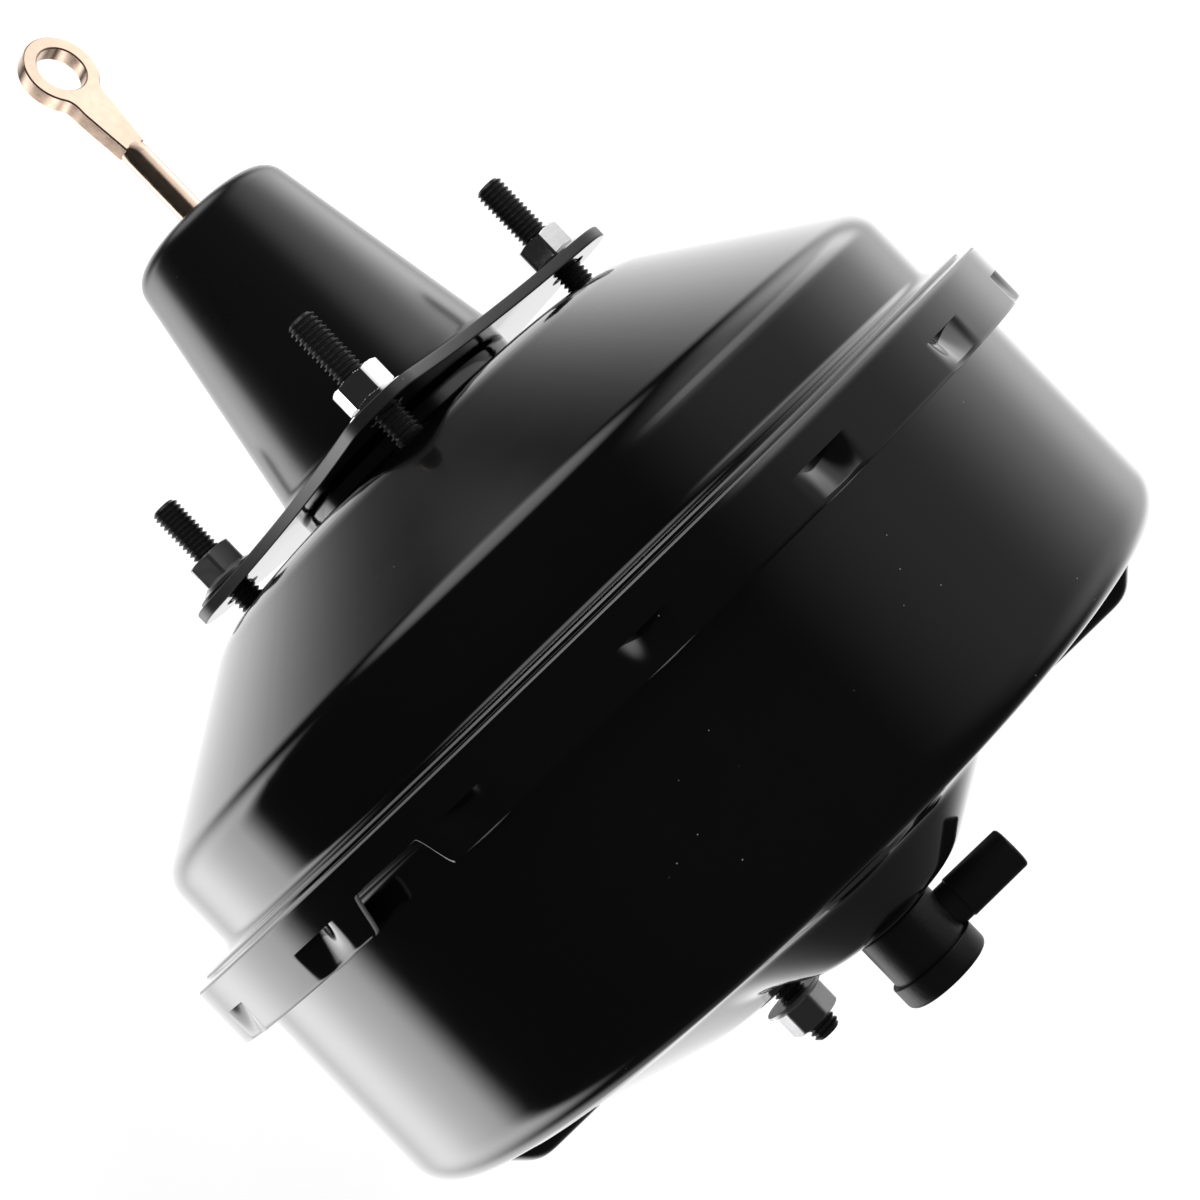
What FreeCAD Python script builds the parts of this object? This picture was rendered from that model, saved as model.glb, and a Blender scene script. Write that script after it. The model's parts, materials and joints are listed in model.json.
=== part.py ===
import FreeCAD, Part
import math
import os
from FreeCAD import Vector

# Vacuum brake booster, millimetres. X runs along the booster axis towards the master cylinder,
# Y to the side, Z up. The origin is on the axis, in the rear face of the mounting plate, which
# is the face that seats on the firewall.

# Driving dimensions: steel shells
sheet = 1.6
plate_thickness = 3.2
neck_length = 7.5
neck_radius = 35.7
neck_bend = 1.5
rear_cone_radius = 70.2
rear_cone_slope = 1.5
rear_wall_radius = 123.0
rear_corner_radius = 11.0
shoulder_radius = 9.0
wall_bend = 3.0
rim_bend = 1.9
flange_x = 69.4
skirt_radius = 136.5
skirt_length = 17.8
front_wall_radius = 127.6
front_face_x = 148.7
front_corner_radius = 9.5

# Driving dimensions: crimped joint
bead_thickness = 2.4
divider_depth = 23.2
divider_sheet = 1.2
divider_bend = 8.0
divider_rim_bend = 2.0
rim_clearance = 0.5
lance_count = 16
lance_angle = 16.9
lance_width = 9.5
lance_depth = 2.7
lance_fade = 0.7
lance_gap = 0.2
notch_angle = 162.0
notch_width = 17.0
notch_depth = 6.4
notch_flare = 2.4
seam_depth = 0.5
seam_width = 0.6

# Driving dimensions: front face forms
ledge_x = 158.5
ledge_radius = 106.0
ledge_slope = 1.02
ledge_chord = 40.0
ledge_angle = 132.6
pad_x = 167.0
pad_radius = 38.0
pad_lobe_radius = 20.0
pad_slope = 2.94
boss_x = 166.5
boss_radius = 22.0
boss_slope = 1.52
edge_round = 3.0
root_sink = 2.0
pilot_radius = 22.0
pilot_depth = 10.0
front_seal_hole = 11.0
grommet_hole = 9.3

# Driving dimensions: mounting plate, studs and nuts
stud_spacing_y = 80.0
stud_spacing_z = 88.0
stud_radius = 3.97
thread_mean_radius = 3.6
stud_projection = 27.0
stud_shank_radius = 4.2
stud_chamfer = 1.2
stud_tip_reduction = 0.8
stud_head_radius = 8.0
stud_head_height = 3.0
plate_lobe_radius = 13.0
plate_waist = 8.0
plate_edge = 0.5
plate_hole_clearance = 1.23
nut_flats = 12.7
nut_flange_radius = 8.6
nut_flange_height = 1.6
nut_height = 8.4
nut_chamfer = 0.9
nut_turn = 12.0
washer_radius = 10.5
washer_height = 1.2
master_spacing = 85.7
master_angle = 172.0
master_stud_length = 18.3
master_nut_lift = 5.4
reinforcement = 2.5
reinforcement_margin = 4.0
shank_gap = 0.03

# Driving dimensions: cover and push rod
cover_length = 72.3
cover_half_angle = 10.24
cover_base_radius = 36.6
cover_corner_radius = 6.0
cover_foot_radius = 40.0
cover_foot_bend = 3.0
cover_hole_radius = 9.2
cover_lip_width = 1.1
cover_lip_height = 0.8
rod_radius = 3.65
ball_radius = 5.5
ball_x = 30.0
eye_x = -125.8
eye_hole_radius = 6.7
eye_radius = 10.4
eye_thickness = 4.8
flat_end_x = -97.0
flat_neck_x = -115.0
flat_neck_width = 12.7
flat_edge_round = 0.7
flat_root_length = 4.0
flat_root_overlap = 3.5
rod_collar_x = -8.5
rod_collar_thickness = 1.5
rod_collar_radius = 9.6
rod_spring_radius = 8.8

# Driving dimensions: power piston
hub_rear_x = -34.0
hub_radius = 20.6
hub_bore = 17.5
hub_mid_radius = 22.4
hub_shoulder_radius = 28.0
hub_shoulder = 3.0
primary_x = 57.8
secondary_x = 107.8
plate_sheet = 1.2
primary_plate_radius = 102.0
primary_lip = 5.2
secondary_plate_radius = 100.0
secondary_lip = 5.6
rubber = 1.5
roll_depth = 16.0
bead_width = 6.5
clearance_in_roll = 1.6
roll_share = 0.42
plate_bend = 2.5
running_gap = 0.05
seat_gap = 0.1
retainer_width = 6.0
retainer_thickness = 1.0
plunger_radius = 9.5
plunger_x = 22.0
plunger_rim = 1.2
poppet_gap = 0.1
seat_lift = 0.8
plunger_neck_radius = 6.0
plunger_travel = 2.4
plunger_end_gap = 0.2
plunger_land = 6.0
hub_plunger_depth = 36.0
key_thickness = 2.4
key_x = 46.8
key_width = 19.0
nose_radius = 6.0
return_wire_radius = 1.9
wire_sides = 8
poppet_spring_radius = 11.3
disc_radius = 15.3
disc_thickness = 6.0
disc_depth = 4.0
hub_front_boss = 7.0
output_rod_radius = 5.0
output_shaft_radius = 4.8
output_rod_end_length = 14.0
output_rod_tip_round = 3.0
output_rod_tip_x = 178.0
output_rod_flange = 4.0
output_rod_root = 3.5
output_rod_root_length = 6.0
retainer_cap = 0.9
retainer_hole = 11.0
cup_wall = 4.2
rod_flange_edge = 0.5

# Driving dimensions: check valve
valve_radius_from_axis = 70.1
valve_angle = 129.7
valve_body_radius = 10.65
valve_body_length = 12.7
valve_cap_radius = 11.8
valve_cap_length = 6.5
valve_spigot_radius = 7.5
valve_throat = 3.8
valve_floor = 2.0
nipple_radius = 5.6
nipple_root_radius = 5.3
nipple_fit_length = 16.0
nipple_tip_round = 1.0
nipple_bore = 3.6
nipple_length = 31.0
nipple_height = 7.8
nipple_angle = 42.6
grommet_flange = 2.0
grommet_radius = 10.9
valve_disc_radius = 6.5
valve_disc_thickness = 1.6
valve_spring_radius = 4.0
valve_wire_radius = 0.35
valve_wall = 2.0
barb_height = 0.8
barb_inset = 6.0

# Driving dimensions: bearings and lip seals
bearing_width = 7.6
bearing_lip = 1.4
bearing_step = 1.0
bearing_flange = 4.0
bearing_flange_height = 2.0
seal_width = 5.0
seal_floor = 0.6
seal_height = 4.6
seal_root = 1.8
seal_lip = 0.9
seal_outer_lip = 1.4
seal_slope = 2.2
neck_seal_height = 4.0
neck_seal_root = 1.6
neck_seal_slope = 2.6
rear_bearing_start = 1.2
rear_bearing_end = 5.0
retainer_start = 0.2
seal_retainer_gap = 1.4
pilot_seal_lip = 1.4
pilot_seal_flange = 2.0
pilot_seal_bead = 1.6

# Places that follow from the driving dimensions
rear_face_x = plate_thickness + neck_length
flange_inner_x = flange_x + sheet
divider_rim_x = flange_inner_x + bead_thickness
second_bead_x = divider_rim_x + divider_sheet
front_flange_x = second_bead_x + bead_thickness
lance_x = front_flange_x + sheet + lance_gap
skirt_end_x = flange_x + skirt_length
rim_radius = skirt_radius - sheet - rim_clearance
bead_radius = rim_radius - 1.0
divider_radius = front_wall_radius - sheet - rubber - 4.0
divider_face_x = divider_rim_x + divider_depth
primary_shoulder_x = primary_x + plate_sheet
secondary_shoulder_x = secondary_x + plate_sheet
hub_front_x = secondary_shoulder_x + hub_shoulder + hub_front_boss
disc_x = secondary_shoulder_x - disc_depth
poppet_face_x = plunger_x - plunger_rim - poppet_gap
pilot_floor_x = pad_x - pilot_depth
pad_inner_x = pad_x - sheet
cover_slope = math.tan(math.radians(cover_half_angle))
valve_y = valve_radius_from_axis * math.cos(math.radians(valve_angle))
valve_z = valve_radius_from_axis * math.sin(math.radians(valve_angle))
valve_seat_x = boss_x + grommet_flange
axis_x = Vector(1, 0, 0)
origin = Vector(0, 0, 0)


def tangent_edges(corners, closed):
    """Straight edges through (x, r, radius) corners, joined by tangent arcs."""
    count = len(corners)
    points = [Vector(c[0], c[1], 0) for c in corners]
    stations = []
    for i, corner in enumerate(corners):
        radius = corner[2] if len(corner) > 2 else 0.0
        at_end = not closed and i in (0, count - 1)
        if at_end or radius < 0.01:
            stations.append((points[i], None, points[i]))
            continue
        back = (points[i - 1] - points[i]).normalize()
        ahead = (points[(i + 1) % count] - points[i]).normalize()
        half = back.getAngle(ahead) / 2
        start = points[i] + back * (radius / math.tan(half))
        end = points[i] + ahead * (radius / math.tan(half))
        bisector = (back + ahead).normalize()
        middle = points[i] + bisector * (radius / math.sin(half) - radius)
        stations.append((start, middle, end))
    edges = []
    last = count if closed else count - 1
    for i in range(count):
        start, middle, end = stations[i]
        if middle is not None:
            edges.append(Part.Arc(start, middle, end).toShape())
        if i < last:
            following = stations[(i + 1) % count][0]
            if end.distanceToPoint(following) > 0.001:
                edges.append(Part.makeLine(end, following))
    return edges


def turned(corners):
    """Solid turned about the booster axis from a closed outline of (x, r, radius) corners."""
    face = Part.Face(Part.Wire(tangent_edges(corners, True)))
    return face.revolve(origin, axis_x, 360)


def offset_to_right(corners, distance):
    """The same path moved to its right, with every bend radius kept concentric."""
    points = [Vector(c[0], c[1], 0) for c in corners]
    moved = []
    for i, corner in enumerate(corners):
        radius = corner[2] if len(corner) > 2 else 0.0
        ways = []
        if i > 0:
            ways.append((points[i] - points[i - 1]).normalize())
        if i < len(points) - 1:
            ways.append((points[i + 1] - points[i]).normalize())
        normals = [Vector(way.y, -way.x, 0) for way in ways]
        if len(ways) == 1:
            shift = normals[0] * distance
            turn = 0.0
        else:
            mean = (normals[0] + normals[1]).normalize()
            shift = mean * (distance / mean.dot(normals[0]))
            turn = ways[0].cross(ways[1]).z
        if radius > 0:
            radius = max(radius + math.copysign(distance, turn), 0.0)
        place = points[i] + shift
        moved.append((place.x, place.y, radius))
    return moved


def pressed_sheet(corners, thickness):
    """Pressed sheet turned about the axis: the path is one face, the sheet lies to its right."""
    near = tangent_edges(corners, False)
    far = tangent_edges(offset_to_right(corners, thickness), False)
    start_near = Vector(corners[0][0], corners[0][1], 0)
    end_near = Vector(corners[-1][0], corners[-1][1], 0)
    shifted = offset_to_right(corners, thickness)
    start_far = Vector(shifted[0][0], shifted[0][1], 0)
    end_far = Vector(shifted[-1][0], shifted[-1][1], 0)
    caps = [Part.makeLine(start_near, start_far), Part.makeLine(end_near, end_far)]
    wire = Part.Wire(Part.__sortEdges__(near + far + caps))
    return Part.Face(wire).revolve(origin, axis_x, 360)


def rod_along_x(radius, start, end, y=0.0, z=0.0):
    """Plain cylinder along X between two stations."""
    return Part.makeCylinder(radius, end - start, Vector(start, y, z), axis_x)


def ring(outer, inner, start, end):
    """Plain ring on the booster axis."""
    return rod_along_x(outer, start, end).cut(rod_along_x(inner, start - 1, end + 1))


def stud_places():
    """Centres of the four firewall studs."""
    half_y = stud_spacing_y / 2
    half_z = stud_spacing_z / 2
    return [(half_y, half_z), (-half_y, half_z), (-half_y, -half_z), (half_y, -half_z)]


def master_places():
    """Centres of the two master cylinder studs."""
    angle = math.radians(master_angle)
    y = master_spacing / 2 * math.cos(angle)
    z = master_spacing / 2 * math.sin(angle)
    return [(y, z), (-y, -z)]


def coil(radius, wire_radius, turns, start, end, y=0.0, z=0.0):
    """Coil spring along X between two seats, with an eight-sided wire."""
    length = end - start - 2 * wire_radius
    helix = Part.makeHelix(length / turns, length, radius)
    corners = []
    for i in range(wire_sides):
        angle = 2 * math.pi * (i + 0.5) / wire_sides
        reach = wire_radius / math.cos(math.pi / wire_sides)
        corners.append(Vector(radius + reach * math.cos(angle), 0, reach * math.sin(angle)))
    section = Part.makePolygon(corners + [corners[0]])
    spring = Part.Wire(helix).makePipeShell([section], True, True)
    spring.rotate(origin, Vector(0, 1, 0), 90)
    spring.translate(Vector(start + wire_radius, y, z))
    return spring


def save(name, shape):
    """Write one sub-part."""
    shape.exportStep("parts/" + name + ".step")


# Rear shell: neck, flat face, cone, wall, flange and the crimped skirt in one pressing
def rear_shell():
    rise = rear_wall_radius - rear_cone_radius
    shoulder_x = rear_face_x + rise / rear_cone_slope
    path = [
        (plate_thickness, neck_radius),
        (rear_face_x, neck_radius, neck_bend),
        (rear_face_x, rear_cone_radius, rear_corner_radius),
        (shoulder_x, rear_wall_radius, shoulder_radius),
        (flange_x, rear_wall_radius, wall_bend),
        (flange_x, skirt_radius, rim_bend),
        (skirt_end_x, skirt_radius),
    ]
    shell = pressed_sheet(path, sheet)
    seam_radius = skirt_radius - rim_bend
    seam = ring(seam_radius + seam_width, seam_radius, flange_x - 1, flange_x + seam_depth)
    shell = shell.cut(seam)
    for y, z in stud_places():
        hole = rod_along_x(stud_shank_radius + shank_gap, rear_face_x - 1, rear_face_x + 3, y, z)
        shell = shell.cut(hole)
    tabs = []
    pockets = []
    for i in range(lance_count):
        angle = lance_angle + i * 360.0 / lance_count
        floor_rear = skirt_radius - lance_depth
        floor_front = skirt_radius - lance_fade
        tab = prism_across(
            [
                (lance_x, floor_rear),
                (skirt_end_x, floor_front),
                (skirt_end_x, floor_front - sheet),
                (lance_x, floor_rear - sheet),
            ],
            lance_width,
        )
        pocket = prism_across(
            [
                (lance_x, skirt_radius + 1),
                (skirt_end_x + 1, skirt_radius + 1),
                (skirt_end_x + 1, floor_front),
                (lance_x, floor_rear),
            ],
            lance_width,
        )
        for piece, group in ((tab, tabs), (pocket, pockets)):
            piece.rotate(origin, axis_x, angle)
            group.append(piece)
    shell = shell.cut(Part.makeCompound(pockets))
    shell = shell.fuse(tabs)
    for side in (0, 180):
        notch = slanted_notch()
        notch.rotate(origin, axis_x, notch_angle + side)
        shell = shell.cut(notch)
    return shell.removeSplitter()


def prism_across(outline, width):
    """Block with an outline in the X and radial directions, centred across its width."""
    points = [Vector(x, r, -width / 2) for x, r in outline]
    face = Part.Face(Part.makePolygon(points + [points[0]]))
    return face.extrude(Vector(0, 0, width))


def slanted_notch():
    """Block with slanted ends that cuts one notch into the edge of the skirt."""
    floor = skirt_end_x - notch_depth
    half = notch_width / 2 - notch_flare / 2
    mouth = half + notch_flare * (notch_depth + 1) / notch_depth
    level = skirt_radius - 2 * sheet
    points = [
        Vector(floor, level, -half),
        Vector(skirt_end_x + 1, level, -mouth),
        Vector(skirt_end_x + 1, level, mouth),
        Vector(floor, level, half),
    ]
    return Part.Face(Part.makePolygon(points + [points[0]])).extrude(Vector(0, 3 * sheet, 0))


# Front shell: deep wall, flat face, raised ledge, master cylinder pad, valve boss, pilot cup
def front_form(inset):
    """Outer form of the front shell, or its inner form when inset by the sheet."""
    start = front_flange_x - inset
    face_x = front_face_x - inset
    wall = front_wall_radius - inset
    body = turned(
        [
            (start, 0),
            (start, wall),
            (face_x, wall, front_corner_radius - inset),
            (face_x, 0),
        ]
    )
    boss = raised_cone(inset, boss_x, boss_radius, boss_slope, valve_y, valve_z)
    raised = [ledge(inset), pad(inset), rounded_top(boss, boss_x - inset, edge_round)]
    return body.fuse(raised).removeSplitter()


def raised_cone(inset, top_x, top_radius, slope, y, z):
    """Cone that stands on the flat face; the inset keeps its flank parallel."""
    top = top_x - inset
    base = front_face_x - inset - root_sink
    radius = top_radius - inset * (math.sqrt(1 + slope**2) - slope)
    return Part.makeCone(radius + slope * (top - base), radius, top - base, Vector(base, y, z), axis_x)


def rounded_top(solid, top_x, radius):
    """Round the edges that lie in the top plane of a raised form."""
    edges = [e for e in solid.Edges if abs(e.BoundBox.XMin - top_x) < 0.001]
    return solid.makeFillet(radius, edges)


def ledge(inset):
    """Raised step across the face with one straight side below the valve boss."""
    top = ledge_x - inset
    base = front_face_x - inset - root_sink
    chord = ledge_chord - inset * (math.sqrt(2) - 1)
    cone = raised_cone(inset, ledge_x, ledge_radius, ledge_slope, 0, 0)
    reach = front_wall_radius
    outline = [
        Vector(base, chord + top - base, -reach),
        Vector(top, chord, -reach),
        Vector(top, -reach, -reach),
        Vector(base, -reach, -reach),
    ]
    side = Part.Face(Part.makePolygon(outline + [outline[0]])).extrude(Vector(0, 0, 2 * reach))
    side.rotate(origin, axis_x, ledge_angle)
    return rounded_top(cone.common(side), top, edge_round)


def pad(inset):
    """Seat of the master cylinder: a low cone with a lobe round each stud."""
    middle = raised_cone(inset, pad_x, pad_radius, pad_slope, 0, 0)
    lobes = [raised_cone(inset, pad_x, pad_lobe_radius, pad_slope, y, z) for y, z in master_places()]
    return middle.fuse(lobes).removeSplitter()


def front_shell():
    shell = front_form(0.0).cut(front_form(sheet))
    flange = ring(rim_radius, front_wall_radius - sheet, front_flange_x, front_flange_x + sheet)
    cup = rod_along_x(pilot_radius + sheet, pilot_floor_x - sheet, pad_x - sheet / 2)
    shell = shell.fuse([flange, cup])
    shell = shell.cut(rod_along_x(pilot_radius, pilot_floor_x, pad_x + 1))
    shell = shell.cut(rod_along_x(front_seal_hole, pilot_floor_x - 3, pad_x))
    for y, z in master_places():
        hole = rod_along_x(stud_shank_radius + shank_gap, pad_x - 3, pad_x + 1, y, z)
        shell = shell.cut(hole)
    shell = shell.cut(rod_along_x(grommet_hole, boss_x - 4, boss_x + 1, valve_y, valve_z))
    return shell.removeSplitter()


# Mounting plate with four stud lobes and waisted sides
def mounting_plate():
    half_y = stud_spacing_y / 2
    half_z = stud_spacing_z / 2
    lobe = plate_lobe_radius
    waist = plate_waist
    sag_y = (half_z**2 + waist**2 - lobe**2) / (2 * (lobe - waist))
    sag_z = (half_y**2 + waist**2 - lobe**2) / (2 * (lobe - waist))

    def side_y(sy, sz):
        toward = Vector(0, sy * (sag_y + waist), -sz * half_z) * (lobe / (lobe + sag_y))
        return Vector(0, sy * half_y, sz * half_z) + toward

    def side_z(sy, sz):
        toward = Vector(0, -sy * half_y, sz * (sag_z + waist)) * (lobe / (lobe + sag_z))
        return Vector(0, sy * half_y, sz * half_z) + toward

    edges = []
    for sy, sz in ((1, 1), (-1, 1), (-1, -1), (1, -1)):
        diagonal = Vector(0, sy, sz).normalize() * lobe
        crown = Vector(0, sy * half_y, sz * half_z) + diagonal
        edges.append(Part.Arc(side_y(sy, sz), crown, side_z(sy, sz)).toShape())
    for way in (1, -1):
        waist_y = Vector(0, way * (half_y + waist), 0)
        waist_z = Vector(0, 0, way * (half_z + waist))
        edges.append(Part.Arc(side_y(way, -1), waist_y, side_y(way, 1)).toShape())
        edges.append(Part.Arc(side_z(-1, way), waist_z, side_z(1, way)).toShape())
    outline = Part.Wire(Part.__sortEdges__(edges))
    plate = Part.Face(outline).extrude(Vector(plate_thickness, 0, 0))
    plate = plate.cut(rod_along_x(neck_radius - sheet, -1, plate_thickness + 1))
    for y, z in stud_places():
        hole = stud_radius + plate_hole_clearance
        plate = plate.cut(rod_along_x(hole, -1, plate_thickness + 1, y, z))
    edges = [e for e in plate.Edges if e.Length > 12 and outer_edge(e)]
    return plate.makeFillet(plate_edge, edges)


def outer_edge(edge):
    """True for an edge of the plate's outline on either face, but not for a hole."""
    box = edge.BoundBox
    flat = box.XLength < 0.001
    middle = edge.valueAt((edge.FirstParameter + edge.LastParameter) / 2)
    closed = len(edge.Vertexes) < 2
    return flat and not closed and math.hypot(middle.y, middle.z) > neck_radius


# Snout cover: tapered tube with a domed end and a small foot on the plate
def snout_cover():
    top_radius = cover_base_radius - cover_length * cover_slope
    path = [
        (-cover_length, cover_hole_radius),
        (-cover_length, top_radius, cover_corner_radius),
        (-sheet, cover_base_radius - sheet * cover_slope, cover_foot_bend),
        (-sheet, cover_foot_radius),
    ]
    lip_end = -cover_length - cover_lip_height
    lip = ring(cover_hole_radius + cover_lip_width, cover_hole_radius, lip_end, sheet / 2 - cover_length)
    return pressed_sheet(path, sheet).fuse(lip).removeSplitter()


# Studs, nuts, washer and the reinforcing plates inside the shells
def stud(head_x, shank_end, nut_start, nut_end, tip_x, y, z):
    """Stud from its head inside the shell: shank in the sheet, thread, run inside the nut, tip."""
    way = 1.0 if tip_x > head_x else -1.0
    stretches = [
        (head_x - way * stud_head_height, head_x, stud_head_radius),
        (head_x, shank_end, stud_shank_radius),
        (shank_end, nut_start, stud_radius),
        (nut_start, nut_end, thread_mean_radius),
        (nut_end, tip_x - way * stud_chamfer, stud_radius),
    ]
    pieces = []
    for start, end, radius in stretches:
        pieces.append(rod_along_x(radius, min(start, end), max(start, end), y, z))
    tip_start = Vector(tip_x - way * stud_chamfer, y, z)
    tip_radius = stud_radius - stud_tip_reduction
    pieces.append(Part.makeCone(stud_radius, tip_radius, stud_chamfer, tip_start, axis_x * way))
    return pieces[0].fuse(pieces[1:]).removeSplitter()


def flange_nut(seat_x, way, y, z):
    """Hexagon nut with a flange, seated at one station and pointing along the given way."""
    corner = nut_flats / math.sqrt(3)
    points = []
    for i in range(7):
        angle = math.radians(60 * i + nut_turn)
        points.append(Vector(seat_x, y + corner * math.cos(angle), z + corner * math.sin(angle)))
    hexagon = Part.Face(Part.makePolygon(points)).extrude(Vector(way * nut_height, 0, 0))
    top_round = Part.makeCone(
        corner + nut_height,
        corner - nut_chamfer,
        nut_height,
        Vector(seat_x, y, z),
        axis_x * way,
    )
    hexagon = hexagon.common(top_round)
    flange = Part.makeCylinder(nut_flange_radius, nut_flange_height / 2, Vector(seat_x, y, z), axis_x * way)
    collar = Part.makeCone(
        nut_flange_radius,
        nut_flats / 2 + 0.2,
        nut_flange_height,
        Vector(seat_x + way * nut_flange_height / 2, y, z),
        axis_x * way,
    )
    bore = Part.makeCylinder(thread_mean_radius, nut_height + 2, Vector(seat_x - way, y, z), axis_x * way)
    return hexagon.fuse([flange, collar]).cut(bore).removeSplitter()


def washer_place():
    """The stud that carries the washer under its nut."""
    return stud_places()[2]


def nut_seat(place):
    """Station where the nut of one firewall stud seats."""
    return -washer_height if place == washer_place() else 0.0


def firewall_studs():
    studs = []
    for place in stud_places():
        seat = nut_seat(place)
        head_x = rear_face_x + sheet + reinforcement
        studs.append(stud(head_x, rear_face_x, seat, seat - nut_height, -stud_projection, *place))
    return Part.makeCompound(studs)


def firewall_nuts():
    return Part.makeCompound([flange_nut(nut_seat(p), -1.0, *p) for p in stud_places()])


def stud_washer():
    y, z = washer_place()
    disc = rod_along_x(washer_radius, -washer_height, 0, y, z)
    return disc.cut(rod_along_x(stud_radius + plate_hole_clearance, -washer_height - 1, 1, y, z))


def rear_reinforcement():
    """Ring inside the rear shell that the stud heads bear on."""
    start = rear_face_x + sheet
    outer = rear_cone_radius - reinforcement_margin
    plate = ring(outer, neck_radius + neck_bend, start, start + reinforcement)
    hole = stud_shank_radius + shank_gap
    for y, z in stud_places():
        plate = plate.cut(rod_along_x(hole, start - 1, start + reinforcement + 1, y, z))
    return plate


def front_reinforcement():
    """Plate inside the pad that the master cylinder stud heads bear on."""
    end = pad_inner_x
    start = end - reinforcement
    plate = rod_along_x(pad_radius - reinforcement_margin, start, end)
    for y, z in master_places():
        plate = plate.fuse(rod_along_x(pad_lobe_radius - reinforcement_margin, start, end, y, z))
    plate = plate.cut(rod_along_x(pilot_radius + sheet + seat_gap, start - 1, end + 1))
    for y, z in master_places():
        plate = plate.cut(rod_along_x(stud_shank_radius + shank_gap, start - 1, end + 1, y, z))
    return plate.removeSplitter()


def master_nut_seat():
    return pad_x + master_nut_lift


def master_cylinder_studs():
    head_x = pad_inner_x - reinforcement
    seat = master_nut_seat()
    tip = pad_x + master_stud_length
    studs = [stud(head_x, pad_x, seat, seat + nut_height, tip, *p) for p in master_places()]
    return Part.makeCompound(studs)


def master_cylinder_nuts():
    return Part.makeCompound([flange_nut(master_nut_seat(), 1.0, *p) for p in master_places()])


# Divider between the two chambers, its bearing and its seal
def divider():
    path = [
        (divider_face_x, divider_bearing_radius()),
        (divider_face_x, divider_radius, divider_bend),
        (divider_rim_x, divider_radius, divider_rim_bend),
        (divider_rim_x, bead_radius),
    ]
    return pressed_sheet(path, divider_sheet)


def divider_bearing_radius():
    return hub_mid_radius + bearing_width


def divider_bearing():
    inner = hub_mid_radius + running_gap
    seat = hub_mid_radius + seal_width
    outer = divider_bearing_radius()
    front = divider_face_x + divider_sheet
    return turned(
        [
            (divider_face_x - bearing_lip, inner),
            (divider_face_x - bearing_lip, outer - bearing_step),
            (divider_face_x, outer - bearing_step),
            (divider_face_x, outer),
            (front, outer),
            (front, outer + bearing_flange),
            (front + bearing_flange_height, outer + bearing_flange),
            (front + bearing_flange_height, seat),
            (front + seal_floor, seat),
            (front + seal_floor, inner),
        ]
    )


def divider_seal():
    inner = hub_mid_radius + running_gap
    outer = hub_mid_radius + seal_width - running_gap
    start = divider_face_x + divider_sheet + seal_floor
    return turned(
        [
            (start, inner),
            (start, outer),
            (start + seal_height, outer),
            (start + seal_height, outer - seal_outer_lip),
            (start + seal_root, hub_mid_radius + seal_slope),
            (start + seal_height, inner + seal_lip),
            (start + seal_height, inner),
        ]
    )


# Rear bearing, seal and retainer in the neck
def rear_bearing():
    start = plate_thickness + rear_bearing_start
    end = plate_thickness + rear_bearing_end
    return ring(neck_bore(), hub_radius + running_gap, start, end)


def neck_bore():
    return neck_radius - sheet


def rear_seal():
    inner = hub_radius + running_gap
    start = plate_thickness + rear_bearing_end
    end = start + neck_seal_height
    return turned(
        [
            (start, inner),
            (start, neck_bore()),
            (end, neck_bore()),
            (end, hub_radius + seal_width),
            (start + neck_seal_root, hub_radius + neck_seal_slope),
            (end, inner + seal_lip),
            (end, inner),
        ]
    )


def seal_retainer():
    start = plate_thickness + retainer_start
    end = plate_thickness + rear_bearing_start
    return ring(neck_bore(), hub_radius + seal_retainer_gap, start, end)


def front_seal():
    """Rubber seal snapped into the pilot floor round the output rod."""
    inner = output_shaft_radius + running_gap
    hole = front_seal_hole
    floor = pilot_floor_x
    back = floor - sheet - pilot_seal_lip
    return turned(
        [
            (back, inner),
            (back, hole + pilot_seal_flange),
            (floor - sheet, hole + pilot_seal_flange),
            (floor - sheet, hole),
            (floor, hole),
            (floor, hole + pilot_seal_bead),
            (floor + 1.0, hole + pilot_seal_bead, 0.4),
            (floor + 1.0, inner),
        ]
    )


# Rolling diaphragms, clamped by their beads in the crimp
def rolling_diaphragm(plate_x, inner, plate_radius, wall_radius, roll_x, bead_x):
    roll = (wall_radius - plate_radius - clearance_in_roll) * roll_share
    path = [
        (plate_x - rubber, inner),
        (plate_x - rubber, plate_radius + rubber + seat_gap, plate_bend + 0.5),
        (roll_x, plate_radius + rubber + seat_gap, roll),
        (roll_x, wall_radius, roll),
        (bead_x, wall_radius, divider_rim_bend + 0.2),
        (bead_x, bead_radius),
    ]
    bead = ring(bead_radius, bead_radius - bead_width, bead_x, bead_x + bead_thickness)
    return pressed_sheet(path, rubber).fuse(bead).removeSplitter()


def primary_diaphragm():
    wall = divider_radius - rubber - 0.6
    roll_x = primary_x + primary_lip + roll_depth
    inner = hub_radius + seat_gap
    return rolling_diaphragm(primary_x, inner, primary_plate_radius, wall, roll_x, flange_inner_x)


def secondary_diaphragm():
    wall = divider_radius + divider_sheet + 0.9
    roll_x = secondary_x + roll_depth
    inner = hub_mid_radius + seat_gap
    return rolling_diaphragm(secondary_x, inner, secondary_plate_radius, wall, roll_x, second_bead_x)


def support_plate(plate_x, inner, plate_radius, lip):
    path = [(plate_x, inner), (plate_x, plate_radius, plate_bend), (plate_x + lip, plate_radius)]
    return pressed_sheet(path, plate_sheet)


def primary_plate():
    return support_plate(primary_x, hub_radius + seat_gap, primary_plate_radius, primary_lip)


def secondary_plate():
    inner = hub_mid_radius + seat_gap
    return support_plate(secondary_x, inner, secondary_plate_radius, secondary_lip)


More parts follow.
